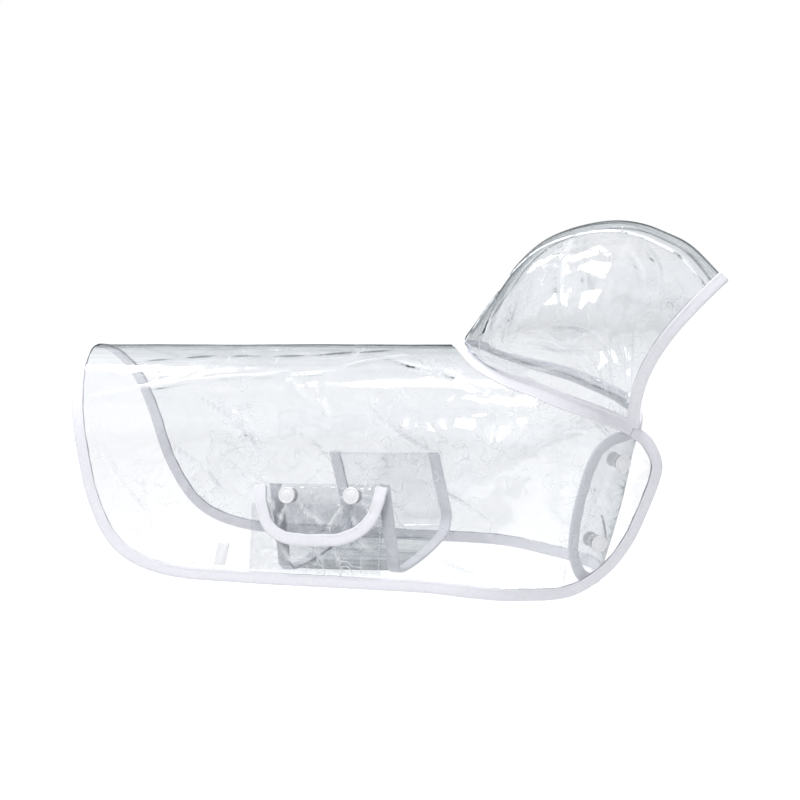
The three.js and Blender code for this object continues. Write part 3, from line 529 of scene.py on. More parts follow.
def arch_points(side, places, shares, over_crown=False):
    """Points of the hood at places and shares: 0 on the neck seam, 1 at the centre panel's seam.

    Over the crown, the share runs on from the seam at 1 to the crest at 2.
    """
    places, shares = np.broadcast_arrays(np.asarray(places, float), np.asarray(shares, float))
    rows = read_rows(ARCHES, places - HOOD_FIRST)
    crest_x, crest_z, half, bow = (rows[..., k] for k in range(1, 5))
    line = places if side < 0 else 2 * SPINE_LINE - places
    base = form_points(seam_seats(line.ravel())).reshape(*line.shape, 3)
    base_half = side * base[..., 1]
    half = np.maximum(half, base_half + 0.5)
    base_angle = np.arcsin(base_half / half)
    seam_angle = math.pi - np.arcsin(CENTRE_HALF / half)
    angle = base_angle + np.minimum(shares, 1) * (seam_angle - base_angle)
    angle = angle + np.maximum(shares - 1, 0) * (math.pi - seam_angle)
    height = crest_z - base[..., 2]
    waist = ARCH_WAIST * height
    lower = waist * (angle - base_angle) / (math.pi / 2 - base_angle)
    rise = np.where(angle < math.pi / 2, lower, waist - (height - waist) * np.cos(angle))
    part = rise / height
    x = base[..., 0] + (crest_x - base[..., 0]) * part + bow * np.sin(math.pi * part)
    up = (angle - base_angle) / (seam_angle - base_angle)
    fold = crease_heights(HOOD_FLAT_CREASES, places * LINE_LENGTH, up * HOOD_SIDE_LENGTH)
    y = side * (half * np.sin(angle) + fold)
    points = np.stack([x, y, base[..., 2] + rise], axis=-1)
    return points + np.stack([np.zeros_like(x), side * small_ripples(points, 0.25), np.zeros_like(x)], axis=-1)


# %% Film of the hood
HOOD_STEPS = 9
SIDE_STEPS = 60
CROWN_STEPS = 24
TAPE_FOOT = 0.09

hood_places = np.linspace(HOOD_FIRST, HOOD_LAST, int((HOOD_LAST - HOOD_FIRST) * HOOD_STEPS) + 1)


def ahead_of(front, behind):
    """Unit vectors out of the face edge, square to it and in the film."""
    tangents = unit(np.gradient(front, axis=0))
    ahead = front - behind
    return unit(ahead - np.sum(ahead * tangents, axis=-1, keepdims=True) * tangents), tangents


def with_face_edge(points, behind, taped):
    """Adds the film's edge inside the face tape in front of the first row of points."""
    ahead, _ = ahead_of(points[0], behind)
    edge = points[0] + ahead * (TAPE_OUT * taped)[:, None]
    return np.concatenate([edge[None], points])


side_shares = np.concatenate([[0.014], np.linspace(0.03, 1, SIDE_STEPS)])
edge_and_places = np.concatenate([[HOOD_FIRST - 0.2], hood_places])


def hood_flat(places, shares):
    """Flat coordinates of a hood panel's points, for its finish."""
    return np.stack(np.broadcast_arrays(places[:, None] * LINE_LENGTH, shares * HOOD_SIDE_LENGTH), axis=-1)


hood_uv = hood_flat(edge_and_places, side_shares)
taped = np.clip((side_shares - 0.03) / (TAPE_FOOT - 0.03), 0, 1)


def hood_side(name, side, node):
    """A side panel of the hood."""
    points = arch_points(side, hood_places[:, None], side_shares[None, :])
    behind = arch_points(side, HOOD_FIRST + 0.1, side_shares)
    rows = with_face_edge(points, behind, taped)
    return film_from(name, rows, grid_faces(*rows.shape[:2]), node, hood_uv, HOOD_FLAT_CREASES)


hood_right = hood_side("hood_side_film_right", -1, "hood_side_right")
hood_left = hood_side("hood_side_film_left", 1, "hood_side_left")

crown_shares = np.linspace(1, 2, CROWN_STEPS // 2 + 1)


def crown_points(places):
    """Points across the centre panel, from its right seam over the crest to its left seam."""
    right = arch_points(-1, places, crown_shares)
    left = arch_points(1, places, crown_shares[:-1])[..., ::-1, :]
    return np.concatenate([right, left], axis=-2)


crown = crown_points(hood_places[:, None])
nape_line = np.linspace(HOOD_LAST + 0.4, 2 * SPINE_LINE - HOOD_LAST - 0.4, crown.shape[1])
nape = form_points(seam_seats(nape_line))
last_row = crown[-1]
nape_rows = [last_row + (nape - last_row) * share for share in (0.33, 0.66, 0.92)]
crown = np.concatenate([crown, nape_rows])
crown = with_face_edge(crown, crown_points(HOOD_FIRST + 0.1), np.ones(crown.shape[1]))
crown_up = np.linspace(1, 2, crown.shape[1])
crown_uv = hood_flat(np.linspace(HOOD_FIRST - 0.2, HOOD_LAST + 1, len(crown)), crown_up)
crown_faces = grid_faces(*crown.shape[:2])
hood_crown = film_from("hood_crown_film", crown, crown_faces, "hood_centre", crown_uv, [])

# %% [markdown]
# ## Pocket, flap and belly band
# The patch pocket lies on the right flank. Its flap is bound in tape, and the two snaps that hold
# it also hold a clear band that passes under the belly.

# %% Film of the pocket
POCKET = dict(rear=9.0, front=107.0, top=-151.6, bottom_rear=-200.4, bottom_front=-202.4, lift=1.7)
POCKET_CREASES = [
    (20, -158, 44, -196, 4, 0.9, 3),
    (52, -180, 66, -200, 3, -0.8, -2),
    (70, -160, 78, -198, 3, 0.7, 3),
    (84, -170, 104, -186, 4, 0.8, 2),
    (12, -186, 60, -192, 3, -0.7, 3),
    (48, -176, 58, -186, 1.8, 0.8, 1),
    (62, -178, 54, -190, 1.8, 0.8, -1),
]
FLAP_CREASES = [
    (40, -146, 30, -170, 2.4, 0.9, 2),
    (44, -150, 58, -176, 2.2, 0.8, -2),
    (56, -140, 64, -172, 2.6, -0.9, 3),
    (50, -156, 70, -166, 1.8, 0.7, 2),
    (80, -150, 66, -174, 2.2, 0.8, 2),
    (88, -148, 98, -160, 2.2, -0.8, -2),
    (84, -154, 92, -170, 2, 0.7, 2),
    (24, -146, 34, -164, 2, -0.7, 2),
    (42, -160, 50, -172, 1.6, 0.8, 1),
    (72, -146, 76, -160, 1.8, 0.7, -1),
]


def placed(along, around, lift, creases=(), turn=90.0):
    """Points of cloth that lies on a panel: its form's points, moved out and creased."""
    along, around, lift = np.broadcast_arrays(along, around, np.asarray(lift, float))
    rise = crease_heights(creases, along, around)
    seats = np.stack([along, around, np.full(along.shape, float(turn)), lift + rise], axis=-1)
    return form_points(seats)


pocket_share = np.linspace(0, 1, 50)[:, None]
pocket_along = POCKET["rear"] + (POCKET["front"] - POCKET["rear"]) * pocket_share
pocket_bottom = POCKET["bottom_rear"] + (POCKET["bottom_front"] - POCKET["bottom_rear"]) * pocket_share
pocket_around = POCKET["top"] + (pocket_bottom - POCKET["top"]) * np.linspace(0, 1, 30)[None, :]
pocket_rows = placed(pocket_along, pocket_around, POCKET["lift"], POCKET_CREASES)
pocket_uv = np.stack(np.broadcast_arrays(pocket_along, pocket_around), axis=-1)
pocket = film_from("pocket_film", pocket_rows, grid_faces(50, 30), "pocket", pocket_uv, POCKET_CREASES)

# %% Film of the flap
FLAP_EDGE = np.array([
    (106.5, -138.5),
    (103.5, -152),
    (98, -163.5),
    (89, -171.5),
    (76, -176.5),
    (61, -177.5),
    (48, -177.5),
    (34, -175.5),
    (23, -168),
    (17, -154),
    (14.5, -138.5),
])
FLAP = dict(top_lift=2.8, lift=4.5, lifted_below=-148.0)
FLAP_STEPS = 8


def flap_lift(around):
    """How far the flap stands off the flank: least at its top, where it is sewn on."""
    share = np.clip((around - FLAP_EDGE[0, 1]) / (FLAP["lifted_below"] - FLAP_EDGE[0, 1]), 0, 1)
    return FLAP["top_lift"] + (FLAP["lift"] - FLAP["top_lift"]) * share


flap_line = read_rows(FLAP_EDGE, np.linspace(0, len(FLAP_EDGE) - 1, (len(FLAP_EDGE) - 1) * FLAP_STEPS + 1))
flap_tangents = unit(np.gradient(flap_line, axis=0))
flap_out = np.stack([-flap_tangents[:, 1], flap_tangents[:, 0]], axis=-1)
flap_half = (len(flap_line) + 1) // 2
flap_film_edge = flap_line + flap_out * TAPE_OUT
front_half = flap_film_edge[:flap_half][:, None]
rear_half = flap_film_edge[::-1][:flap_half][:, None]
across = np.linspace(0, 1, 40)[None, :, None]
flap_seats = front_half * (1 - across) + rear_half * across
flap_rows = placed(flap_seats[..., 0], flap_seats[..., 1], flap_lift(flap_seats[..., 1]), FLAP_CREASES)
flap_faces = grid_faces(*flap_rows.shape[:2])
flap = film_from("flap_film", flap_rows, flap_faces, "pocket_flap", flap_seats, FLAP_CREASES)

# %% Film of the belly band
BAND = dict(rear=24.0, front=106.0, top=138.0, leg_end=188.0, lean=8.5, inset=3.3)
# share of the half width, drop below the leg
BAND_TURN = np.array([(1, 0), (0.985, 6), (0.94, 10.5), (0.86, 13.5), (0.7, 15.4), (0.35, 17), (0, 17.5)])
band_leg = np.linspace(BAND["top"], BAND["leg_end"], 18)
band_turn = read_rows(BAND_TURN, np.linspace(0, 6, 31))[1:]
band_around = np.concatenate([band_leg, np.full(len(band_turn), BAND["leg_end"])])
band_half_share = np.concatenate([np.ones(len(band_leg)), band_turn[:, 0]])
band_drop = np.concatenate([np.zeros(len(band_leg)), band_turn[:, 1]])
band_lean = BAND["lean"] * (band_around - BAND["top"]) / (BAND["leg_end"] - BAND["top"])


def band_points(along):
    """Points of the band along its length at one or more places across it."""
    halves = []
    for side in (-1, 1):
        at = np.asarray(along)[None, :] + band_lean[:, None]
        points = placed(at, side * band_around[:, None], -BAND["inset"])
        points = points * np.stack([np.ones_like(at), np.broadcast_to(band_half_share[:, None], at.shape), np.ones_like(at)], axis=-1)
        points[..., 2] -= band_drop[:, None]
        halves.append(points)
    return np.concatenate([halves[0], halves[1][:-1][::-1]])


band_across = np.linspace(BAND["rear"] - TAPE_OUT, BAND["front"] + TAPE_OUT, 36)
band_rows = band_points(band_across)
band_rows[..., 2] += small_ripples(band_rows, 0.4)
band_length = run_of(band_rows[:, 0])
band_uv = np.stack(np.broadcast_arrays(band_across[None, :], band_length[:, None]), axis=-1)
band_faces = grid_faces(*band_rows.shape[:2])
band = film_from("belly_band_film", band_rows, band_faces, "belly_band", band_uv, [])

# %% [markdown]
# ## Bound edges
# White woven tape is folded over the film's raw edge and stitched down. The tape is a U-shaped
# sheet that follows the edge. Its legs pucker a little between the stitches, as real tape does.

# %% Folded tape
TAPE_SHELL = 0.45
TAPE_PITCH = 2.6
# distance in from the film's edge, height off the film
TAPE_LEG = [(7.6, 0.72), (7.1, 0.98), (5.9, 0.9), (4.4, 1.08), (2.4, 1.15), (0.9, 1.18)]
TAPE_ROUND = 1.18
fold_angles = np.radians(np.linspace(75, -75, 7))
upper_leg = np.array(TAPE_LEG)
fold_section = np.stack([0.3 - TAPE_ROUND * np.cos(fold_angles), TAPE_ROUND * np.sin(fold_angles)], axis=-1)
TAPE_SECTION = np.concatenate([upper_leg, fold_section, upper_leg[::-1] * [1, -1]])


def pucker(run, seed):
    """Uneven waves along a tape, from -1 to 1."""
    waves = 0.5 * np.sin(run / 3.1 + seed) + 0.3 * np.sin(run / 7.7 + 2 * seed)
    return waves + 0.2 * np.sin(run / 17.3 + 5 * seed)


def tape_from(name, rows, node, cut, uv_rows=None):
    """A tape piece from rows of points across it, with its thickness; it prints its length and its area as a share
    of its cut.
    """
    run = run_of(rows[:, rows.shape[1] // 2])
    across = np.array([run_of(rows[len(rows) // 2])] * len(rows))
    uv = np.stack([np.repeat(run, rows.shape[1]), across.ravel()], axis=-1)
    piece = make_mesh(name, rows.reshape(-1, 3), grid_faces(*rows.shape[:2]), uv)
    area = area_of(piece)
    apply_modifier(piece, "SOLIDIFY", thickness=TAPE_SHELL * MM, offset=0.0, use_rim=True)
    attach(piece, "root")
    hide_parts(node)
    print(name, "tape:", round(run[-1]), "mm long,", round(area / (cut[0] * cut[1]), 2), "of its cut")
    return piece


def folded_tape(name, edge, inner, normals, node, seed, raise_by=None):
    """Tape folded over an edge. The points of the film's edge and of its inner row give its place."""
    run = run_of(edge)
    inward = unit(inner - edge)
    width = np.linalg.norm(inner - edge, axis=-1)
    wave = pucker(run, seed)
    stitch = np.cos(2 * math.pi * run / TAPE_PITCH)
    rows = []
    for depth, height in TAPE_SECTION:
        share = depth / TAPE_LEG[0][0]
        at = edge + inward * (share * width + 0.24 * wave * share)[:, None]
        lift = height + np.sign(height) * (0.26 * wave * share + 0.09 * stitch * (0.5 < share < 0.9))
        if raise_by is not None:
            lift = lift + np.sign(height) * raise_by
        rows.append(at + normals * lift[:, None])
    cut = (2 * (TAPE_LEG[0][0] + 1.4) * MM, run[-1] * MM)
    return tape_from(name, np.stack(rows, axis=1), node, cut)


# %% Stitches
STITCH_LENGTH = 2.0
bpy.ops.object.select_all(action="DESELECT")
bpy.ops.mesh.primitive_uv_sphere_add(segments=6, ring_count=5, radius=1, rotation=(0, math.pi / 2, 0))
bpy.ops.object.transform_apply(location=False, rotation=True, scale=False)
bpy.ops.transform.resize(value=(STITCH_LENGTH / 2, 0.21, 0.2))
bpy.ops.object.transform_apply(location=False, rotation=False, scale=True)
stitch_shape = bpy.context.object
stitch_points = np.array([tuple(v.co) for v in stitch_shape.data.vertices])
stitch_points[:, 2] -= 0.12 * (stitch_points[:, 0] / (STITCH_LENGTH / 2)) ** 2
stitch_faces = [tuple(face.vertices) for face in stitch_shape.data.polygons]
bpy.data.objects.remove(stitch_shape, do_unlink=True)
stitch_rows = []


def stitch_row(line, normals, height, pitch=TAPE_PITCH):
    """Keeps one row of stitches along a line of points, a height off it."""
    run = run_of(line)
    places = np.arange(pitch / 2, run[-1], pitch)
    at = np.stack([np.interp(places, run, line[:, k]) for k in range(3)], axis=-1)
    up = unit(np.stack([np.interp(places, run, normals[:, k]) for k in range(3)], axis=-1))
    ahead = np.stack([np.interp(places + 0.5, run, line[:, k]) for k in range(3)], axis=-1) - at
    ahead = unit(ahead - np.sum(ahead * up, axis=-1, keepdims=True) * up)
    side = np.cross(up, ahead)
    axes = np.stack([ahead, side, up], axis=1)
    turned = np.einsum("vk,nkc->nvc", stitch_points, axes)
    stitch_rows.append(turned + (at + up * height)[:, None])


print("one stitch:", len(stitch_faces), "faces")

# %% Tape round the hem and the fronts
first = neck_place(RIGHT_CORNER - TAPE_MEET) - OUTLINE_END
last = neck_place(LEFT_CORNER + TAPE_MEET)
hem_places, hem_length = even_places(first, last, lambda t: form_points(read_loop(OUTLINE, t)), 1.3)
hem_edge_seats = outline_seats(hem_places, TAPE_OUT)
hem_inner_seats = outline_seats(hem_places, -TAPE_IN)
hem_edge, hem_inner = cape_points(hem_edge_seats), cape_points(hem_inner_seats)
hem_normals = form_normals(outline_seats(hem_places, 0))
hem_binding = folded_tape("hem_tape", hem_edge, hem_inner, hem_normals, "hem_binding", 1.0)
hem_line = hem_inner * 0.8 + hem_edge * 0.2
stitch_row(hem_line, hem_normals, 1.2)
stitch_row(hem_line, -hem_normals, 1.2)

# %% Tape round the face
face_shares = np.linspace(0.0, 1, 110)
right_face = arch_points(-1, HOOD_FIRST, face_shares)
right_back = arch_points(-1, HOOD_FIRST + 0.1, face_shares)
left_face = arch_points(1, HOOD_FIRST, face_shares)
left_back = arch_points(1, HOOD_FIRST + 0.1, face_shares)
crown_face, crown_back = crown_points(HOOD_FIRST), crown_points(HOOD_FIRST + 0.1)
face = np.concatenate([right_face[:-1], crown_face, left_face[:-1][::-1]])
face_behind = np.concatenate([right_back[:-1], crown_back, left_back[:-1][::-1]])
face_run = run_of(face)
even_run = np.linspace(0, face_run[-1], int(face_run[-1] / 1.3))


def resampled(points):
    """The face edge's points, evenly apart."""
    return np.stack([np.interp(even_run, face_run, points[:, k]) for k in range(3)], axis=-1)


face, face_behind = resampled(face), resampled(face_behind)
face_ahead, face_tangents = ahead_of(face, face_behind)
face_normals = unit(np.cross(face_tangents, face_ahead))
if np.mean(np.sum(face_normals * (face - face.mean(axis=0)), axis=-1)) < 0:
    face_normals = -face_normals
ends = np.minimum(even_run, even_run[-1] - even_run)
over_corner = 1.3 * np.clip(1 - ends / 9, 0, 1)
face_edge, face_inner = face + face_ahead * TAPE_OUT, face - face_ahead * TAPE_IN
face_binding = folded_tape("face_tape", face_edge, face_inner, face_normals, "face_binding", 2.3, over_corner)
face_line = face_inner * 0.8 + face_edge * 0.2
stitch_row(face_line, face_normals, 1.2)
stitch_row(face_line, -face_normals, 1.2)

# %% Tape on the neck seam
NECK_ROWS = 9
neck_lines, neck_length = even_places(RIGHT_CORNER, LEFT_CORNER, lambda t: form_points(seam_seats(t)), 1.3)
neck_edge = [cape_points(outline_seats(neck_place(neck_lines), d)) for d in (-4.9, -4.4, -2.5, 0.0, 2.2, 3.4)]


def hood_above_seam(line, distance):
    """Points of the hood at a distance above the neck seam."""
    hood_line = np.where(line <= SPINE_LINE, line, 2 * SPINE_LINE - line)
    clipped = np.minimum(hood_line, HOOD_LAST)
    right = arch_points(-1, clipped, distance / HOOD_SIDE_LENGTH)
    left = arch_points(1, clipped, distance / HOOD_SIDE_LENGTH)
    on_seam = form_points(seam_seats(line))
    side = np.where((line <= SPINE_LINE)[:, None], right, left)
    lean = unit(form_points(seam_seats(np.full(1, HOOD_LAST)))[0] * 0 + np.array([0.35, 0, 0.94]))
    behind = on_seam + lean * distance
    share = np.clip((hood_line - HOOD_LAST + 1) / 1.4, 0, 1)[:, None]
    return side * (1 - share) + behind * share


neck_rows = np.stack([*neck_edge, hood_above_seam(neck_lines, 1.6), hood_above_seam(neck_lines, 3.2)], axis=1)
neck_seats = outline_seats(neck_place(neck_lines), 0)
neck_normals = form_normals(neck_seats)
neck_lift = np.array([0.55, 0.85, 0.95, 1.0, 1.0, 1.0, 0.95, 0.6])
neck_wave = pucker(run_of(neck_rows[:, 3]), 3.9)
neck_rows = neck_rows + neck_normals[:, None, :] * (neck_lift[None, :, None] + 0.12 * neck_wave[:, None, None])
neck_cut = (0.0115, neck_length * MM)
neck_binding = tape_from("neck_tape", neck_rows, "neck_binding", neck_cut)
stitch_row(neck_rows[:, 2], neck_normals, 0.25)
stitch_row(neck_rows[:, 6], neck_normals, 0.25)

# %% Tape round the flap and on the belly band
flap_places = np.linspace(0, len(FLAP_EDGE) - 1, 190)
flap_curve = read_rows(FLAP_EDGE, flap_places)
flap_turn = unit(np.gradient(flap_curve, axis=0))
flap_away = np.stack([-flap_turn[:, 1], flap_turn[:, 0]], axis=-1)
if np.sum(flap_away[95] * [0, 1]) > 0:
    flap_away = -flap_away


def flap_points(curve):
    """Points of the creased flap."""
    return placed(curve[:, 0], curve[:, 1], flap_lift(curve[:, 1]), FLAP_CREASES)


flap_edge, flap_inner = flap_points(flap_curve + flap_away * TAPE_OUT), flap_points(flap_curve - flap_away * TAPE_IN)
flank_normal = form_normals(np.array([60.0, -160.0, 90.0, 0.0]))
flap_normals = np.broadcast_to(flank_normal, flap_edge.shape)
flap_binding = folded_tape("flap_tape", flap_edge, flap_inner, flap_normals, "flap_binding", 4.4)
stitch_row(flap_inner * 0.8 + flap_edge * 0.2, flap_normals, 1.2)
band_tapes = []
for end, place, inward, node in (
    ("rear", BAND["rear"], 1, "band_binding_rear"),
    ("front", BAND["front"], -1, "band_binding_front"),
):
    edge = band_points(np.array([place - inward * TAPE_OUT]))[:, 0]
    inner = band_points(np.array([place + inward * TAPE_IN]))[:, 0]
    band_run = run_of(edge)
    even = np.linspace(0, band_run[-1], int(band_run[-1] / 1.3))
    edge, inner = (np.stack([np.interp(even, band_run, line[:, k]) for k in range(3)], -1) for line in (edge, inner))
    normals = unit(np.cross(np.gradient(edge, axis=0), inner - edge))
    band_tapes.append(folded_tape(f"band_tape_{end}", edge, inner, normals, node, 5.0 + place / 30))
    stitch_row(inner * 0.8 + edge * 0.2, normals, 1.2)
    stitch_row(inner * 0.8 + edge * 0.2, -normals, 1.2)

# %% Tab at the hem
TAB = dict(along=-14.0, width=8.5, bottom=-197.0, top=-181.0, lean=3.0, lift=1.4)
tab_up = np.linspace(0, 1, 18)[:, None]
tab_across = np.linspace(-0.5, 0.5, 9)[None, :]
tab_along = TAB["along"] + TAB["width"] * tab_across + TAB["lean"] * tab_up
tab_around = TAB["bottom"] + (TAB["top"] - TAB["bottom"]) * tab_up + 0 * tab_across
tab_lift = TAB["lift"] + 0.25 * np.sin(tab_up * 5) * np.cos(tab_across * 4)
tab_rows = placed(tab_along, tab_around, tab_lift)
tab = tape_from("hem_tab_tape", tab_rows, "hem_tab", (0.0085, 0.016))

# %% [markdown]
# ## Small parts
# The hood's two seams are welded, which leaves a whitish strip. The pocket is sewn on at its two
# sides. A snap's cap is turned by hand from one cylinder: insets make its rim and its dome.

# %% Welded strips of the hood
strip_shares = np.array([0.984, 0.988, 0.994, 1.0, 1.02, 1.04, 1.055])
strip_lift = np.array([0.1, 0.42, 0.6, 0.66, 0.6, 0.42, 0.1])


def hood_strip(name, side):
    """A narrow strip of doubled film along one seam of the hood's centre panel."""
    places = np.linspace(HOOD_FIRST + 0.05, HOOD_LAST, 160)[:, None]
    rows = arch_points(side, places, strip_shares[None, :])
    normals = unit(np.cross(np.gradient(rows, axis=0), np.gradient(rows, axis=1)))
    if np.sum(normals[80, 3] * [0, side, 1]) < 0:
        normals = -normals
    rows = rows + normals * strip_lift[None, :, None]
    piece = make_mesh(name, rows.reshape(-1, 3), grid_faces(*rows.shape[:2]))
    apply_modifier(piece, "SOLIDIFY", thickness=0.3 * MM, offset=0.0, use_rim=True)
    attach(piece, "root")
    return piece


strips = [hood_strip("hood_strip_right", -1), hood_strip("hood_strip_left", 1)]

# %% Pocket's side seams and all the stitches
for along in (POCKET["rear"] + 1.6, POCKET["front"] - 1.6):
    share = (along - POCKET["rear"]) / (POCKET["front"] - POCKET["rear"])
    bottom = POCKET["bottom_rear"] + (POCKET["bottom_front"] - POCKET["bottom_rear"]) * share
    around = np.linspace(POCKET["top"] - 1, bottom, 90)
    seam = placed(np.full(90, along), around, POCKET["lift"], POCKET_CREASES)
    stitch_row(seam, np.broadcast_to(flank_normal, seam.shape), 0.3, pitch=2.9)
for offset in (-2.6, 2.6):
    around = np.linspace(TAB["bottom"] + 2, TAB["top"] - 1.5, 14)
    lean = TAB["lean"] * (around - TAB["bottom"]) / (TAB["top"] - TAB["bottom"])
    seam = placed(TAB["along"] + offset + lean, around, TAB["lift"])
    stitch_row(seam, np.broadcast_to(flank_normal, seam.shape), 0.4, pitch=2.4)
stitch_cloud = np.concatenate(stitch_rows)
size = len(stitch_points)
all_faces = [tuple(n * size + k for k in face) for n in range(len(stitch_cloud)) for face in stitch_faces]
stitches = make_mesh("tape_stitches", stitch_cloud.reshape(-1, 3), all_faces)
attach(stitches, "root")
print("stitches:", len(stitch_cloud))

# %% A snap's cap
CAP_RADIUS = 6.3 * MM
bpy.ops.object.select_all(action="DESELECT")
bpy.ops.mesh.primitive_cylinder_add(vertices=56, radius=CAP_RADIUS - 0.25 * MM, depth=1.3 * MM)
bpy.ops.object.mode_set(mode="EDIT")
bpy.ops.mesh.select_all(action="DESELECT")
edit = bmesh.from_edit_mesh(bpy.context.edit_object.data)
for face in edit.faces:
    face.select_set(face.normal.z > 0.9)
bmesh.update_edit_mesh(bpy.context.edit_object.data)
# inset, rise in millimetres: a rolled rim, a groove, then the dome
for inset, rise in ((0.5, 0.32), (0.6, 0.04), (0.35, -0.34), (0.4, 0.06), (0.5, 0.3), (1.1, 0.22), (1.3, 0.1)):
    bpy.ops.mesh.inset(thickness=inset * MM, depth=0)
    bpy.ops.transform.translate(value=(0, 0, rise * MM))
bpy.ops.object.mode_set(mode="OBJECT")
cap_shape = bpy.context.object
bevel = cap_shape.modifiers.new("Bevel", "BEVEL")
bevel.width = 0.16 * MM
bevel.segments = 2
bevel.limit_method = "ANGLE"
bpy.ops.object.modifier_apply(modifier="Bevel")
cap_points = np.array([tuple(v.co) for v in cap_shape.data.vertices])
cap_faces = [tuple(face.vertices) for face in cap_shape.data.polygons]
bpy.data.objects.remove(cap_shape, do_unlink=True)
cap_middle = (cap_points[:, 2].min() + cap_points[:, 2].max()) / 2
SNAPS = {
    "flap_snap_rear": (36.0, -146.0, 200.0),
    "flap_snap_front": (84.0, -145.6, 200.0),
    "front_snap_upper": (282.0, -123.3, 38.0),
    "front_snap_lower": (260.0, -181.3, 36.0),
}
caps = []
for name, (along, around, turn) in SNAPS.items():
    axis = form_normals(np.array([along, around, turn, 0.0]))
    sideways = unit(np.cross([0, 0, 1.0], axis))
    upward = np.cross(axis, sideways)
    low, high = (np.array(corner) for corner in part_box(f"{name}_cap"))
    centre = (low + high) / 2
    local = cap_points - [0, 0, cap_middle]
    world = centre + local[:, :1] * sideways + local[:, 1:2] * upward + local[:, 2:] * axis
    cap = make_mesh(f"{name}_button", world / MM, cap_faces)
    bpy.ops.object.select_all(action="DESELECT")
    cap.select_set(True)
    bpy.context.view_layer.objects.active = cap
    bpy.ops.object.shade_smooth_by_angle(angle=math.radians(35))
    cap.select_set(False)
    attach(cap, "root")
    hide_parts(f"{name}_cap")
    caps.append(cap)
print("caps:", len(caps), "of", len(cap_faces), "faces")

# %% [markdown]
# ## Finishes
# Clear film is mostly its reflections: nothing at all where it faces you, and a grey sheen where it
# turns away, with painted highlights and shade at its creases. The tape is a plain weave,
# with a little painted lavender shade in its hollows.

# %% Node helpers


def node_group(name, inputs, outputs):
    """A shader node group with named sockets: rows of name, kind and default."""
    group = bpy.data.node_groups.new(name, "ShaderNodeTree")
    for label, kind, value in inputs:
        socket = group.interface.new_socket(name=label, in_out="INPUT", socket_type=kind)
        socket.default_value = value
    for label, kind in outputs:
        group.interface.new_socket(name=label, in_out="OUTPUT", socket_type=kind)
    return group, group.nodes.new("NodeGroupInput"), group.nodes.new("NodeGroupOutput")


def add(tree, kind, **settings):
    """A node with its settings: properties by name, and inputs by their labels in a dict."""
    node = tree.nodes.new(kind)
    inputs = settings.pop("inputs", {})
    for key, value in settings.items():
        setattr(node, key, value)
    for label, value in inputs.items():
        node.inputs[label].default_value = value
    return node


def new_material(name):
    """An empty node material and its tree."""
    material = bpy.data.materials.new(name)
    material.use_nodes = True
    material.node_tree.nodes.clear()
    return material, material.node_tree


FLOAT, COLOR, VECTOR = "NodeSocketFloat", "NodeSocketColor", "NodeSocketVector"

# %% Crinkle and streak group, with the painted highlights and shade of the creases
crinkle, inside, out = node_group(
    "film_crinkle",
    [("Scale", FLOAT, 60.0), ("Height", FLOAT, 1.0), ("Streaks", FLOAT, 1.0), ("Painted Hairlines", FLOAT, 0.3)],
    [("Height", FLOAT), ("Mask", FLOAT), ("Streak", FLOAT), ("White", FLOAT), ("Painted Crease Shade", FLOAT)],
)


def linked(tree, *pairs):
    """Links outputs to inputs, given as pairs of sockets."""
    for source, target in pairs:
        tree.links.new(source, target)


place = add(crinkle, "ShaderNodeTexCoord")
flat = add(crinkle, "ShaderNodeUVMap", uv_map="UVMap")
soft = add(crinkle, "ShaderNodeTexNoise", inputs={"Detail": 1.0, "Roughness": 0.5})
valley = add(crinkle, "ShaderNodeMath", operation="SUBTRACT", inputs={1: 0.5})
facets = add(crinkle, "ShaderNodeMath", operation="ABSOLUTE")
ground = add(crinkle, "ShaderNodeMath", operation="MULTIPLY_ADD", inputs={1: 9.0})
height = add(crinkle, "ShaderNodeMath", operation="MULTIPLY")
stretch = add(crinkle, "ShaderNodeMapping", inputs={"Scale": (9.0, 210.0, 1.0)})
brushed = add(crinkle, "ShaderNodeTexNoise", inputs={"Scale": 1.0, "Detail": 2.0, "Roughness": 0.6})
centred = add(crinkle, "ShaderNodeMath", operation="SUBTRACT", inputs={1: 0.5})
streak = add(crinkle, "ShaderNodeMath", operation="MULTIPLY")
# the crease attribute: a painted highlight on crests, above 0, and painted shade beside them, below 0
marks = add(crinkle, "ShaderNodeAttribute", attribute_name="crease")
white = add(crinkle, "ShaderNodeMapRange", inputs={"From Min": 0.0, "From Max": 1.0})
# hairlines: thin painted highlights of fine crinkles, only inside patches
veins = add(crinkle, "ShaderNodeTexNoise", inputs={"Scale": 62.0, "Detail": 1.0})
veins_middle = add(crinkle, "ShaderNodeMath", operation="SUBTRACT", inputs={1: 0.5})
veins_size = add(crinkle, "ShaderNodeMath", operation="ABSOLUTE")
hairline = add(crinkle, "ShaderNodeMapRange", inputs={"From Min": 0.011, "From Max": 0.002})
patches = add(crinkle, "ShaderNodeTexNoise", inputs={"Scale": 21.0, "Detail": 0.0})
patch = add(crinkle, "ShaderNodeMapRange", inputs={"From Min": 0.5, "From Max": 0.62})
in_patch = add(crinkle, "ShaderNodeMath", operation="MULTIPLY")
hair_share = add(crinkle, "ShaderNodeMath", operation="MULTIPLY")
# all the painted highlights: the hairlines and the crests
painted_highlights = add(crinkle, "ShaderNodeMath", operation="ADD", use_clamp=True)
# painted shade beside the creases, for the film's tint
grey = add(crinkle, "ShaderNodeMapRange", inputs={"From Min": 0.0, "From Max": -1.0})
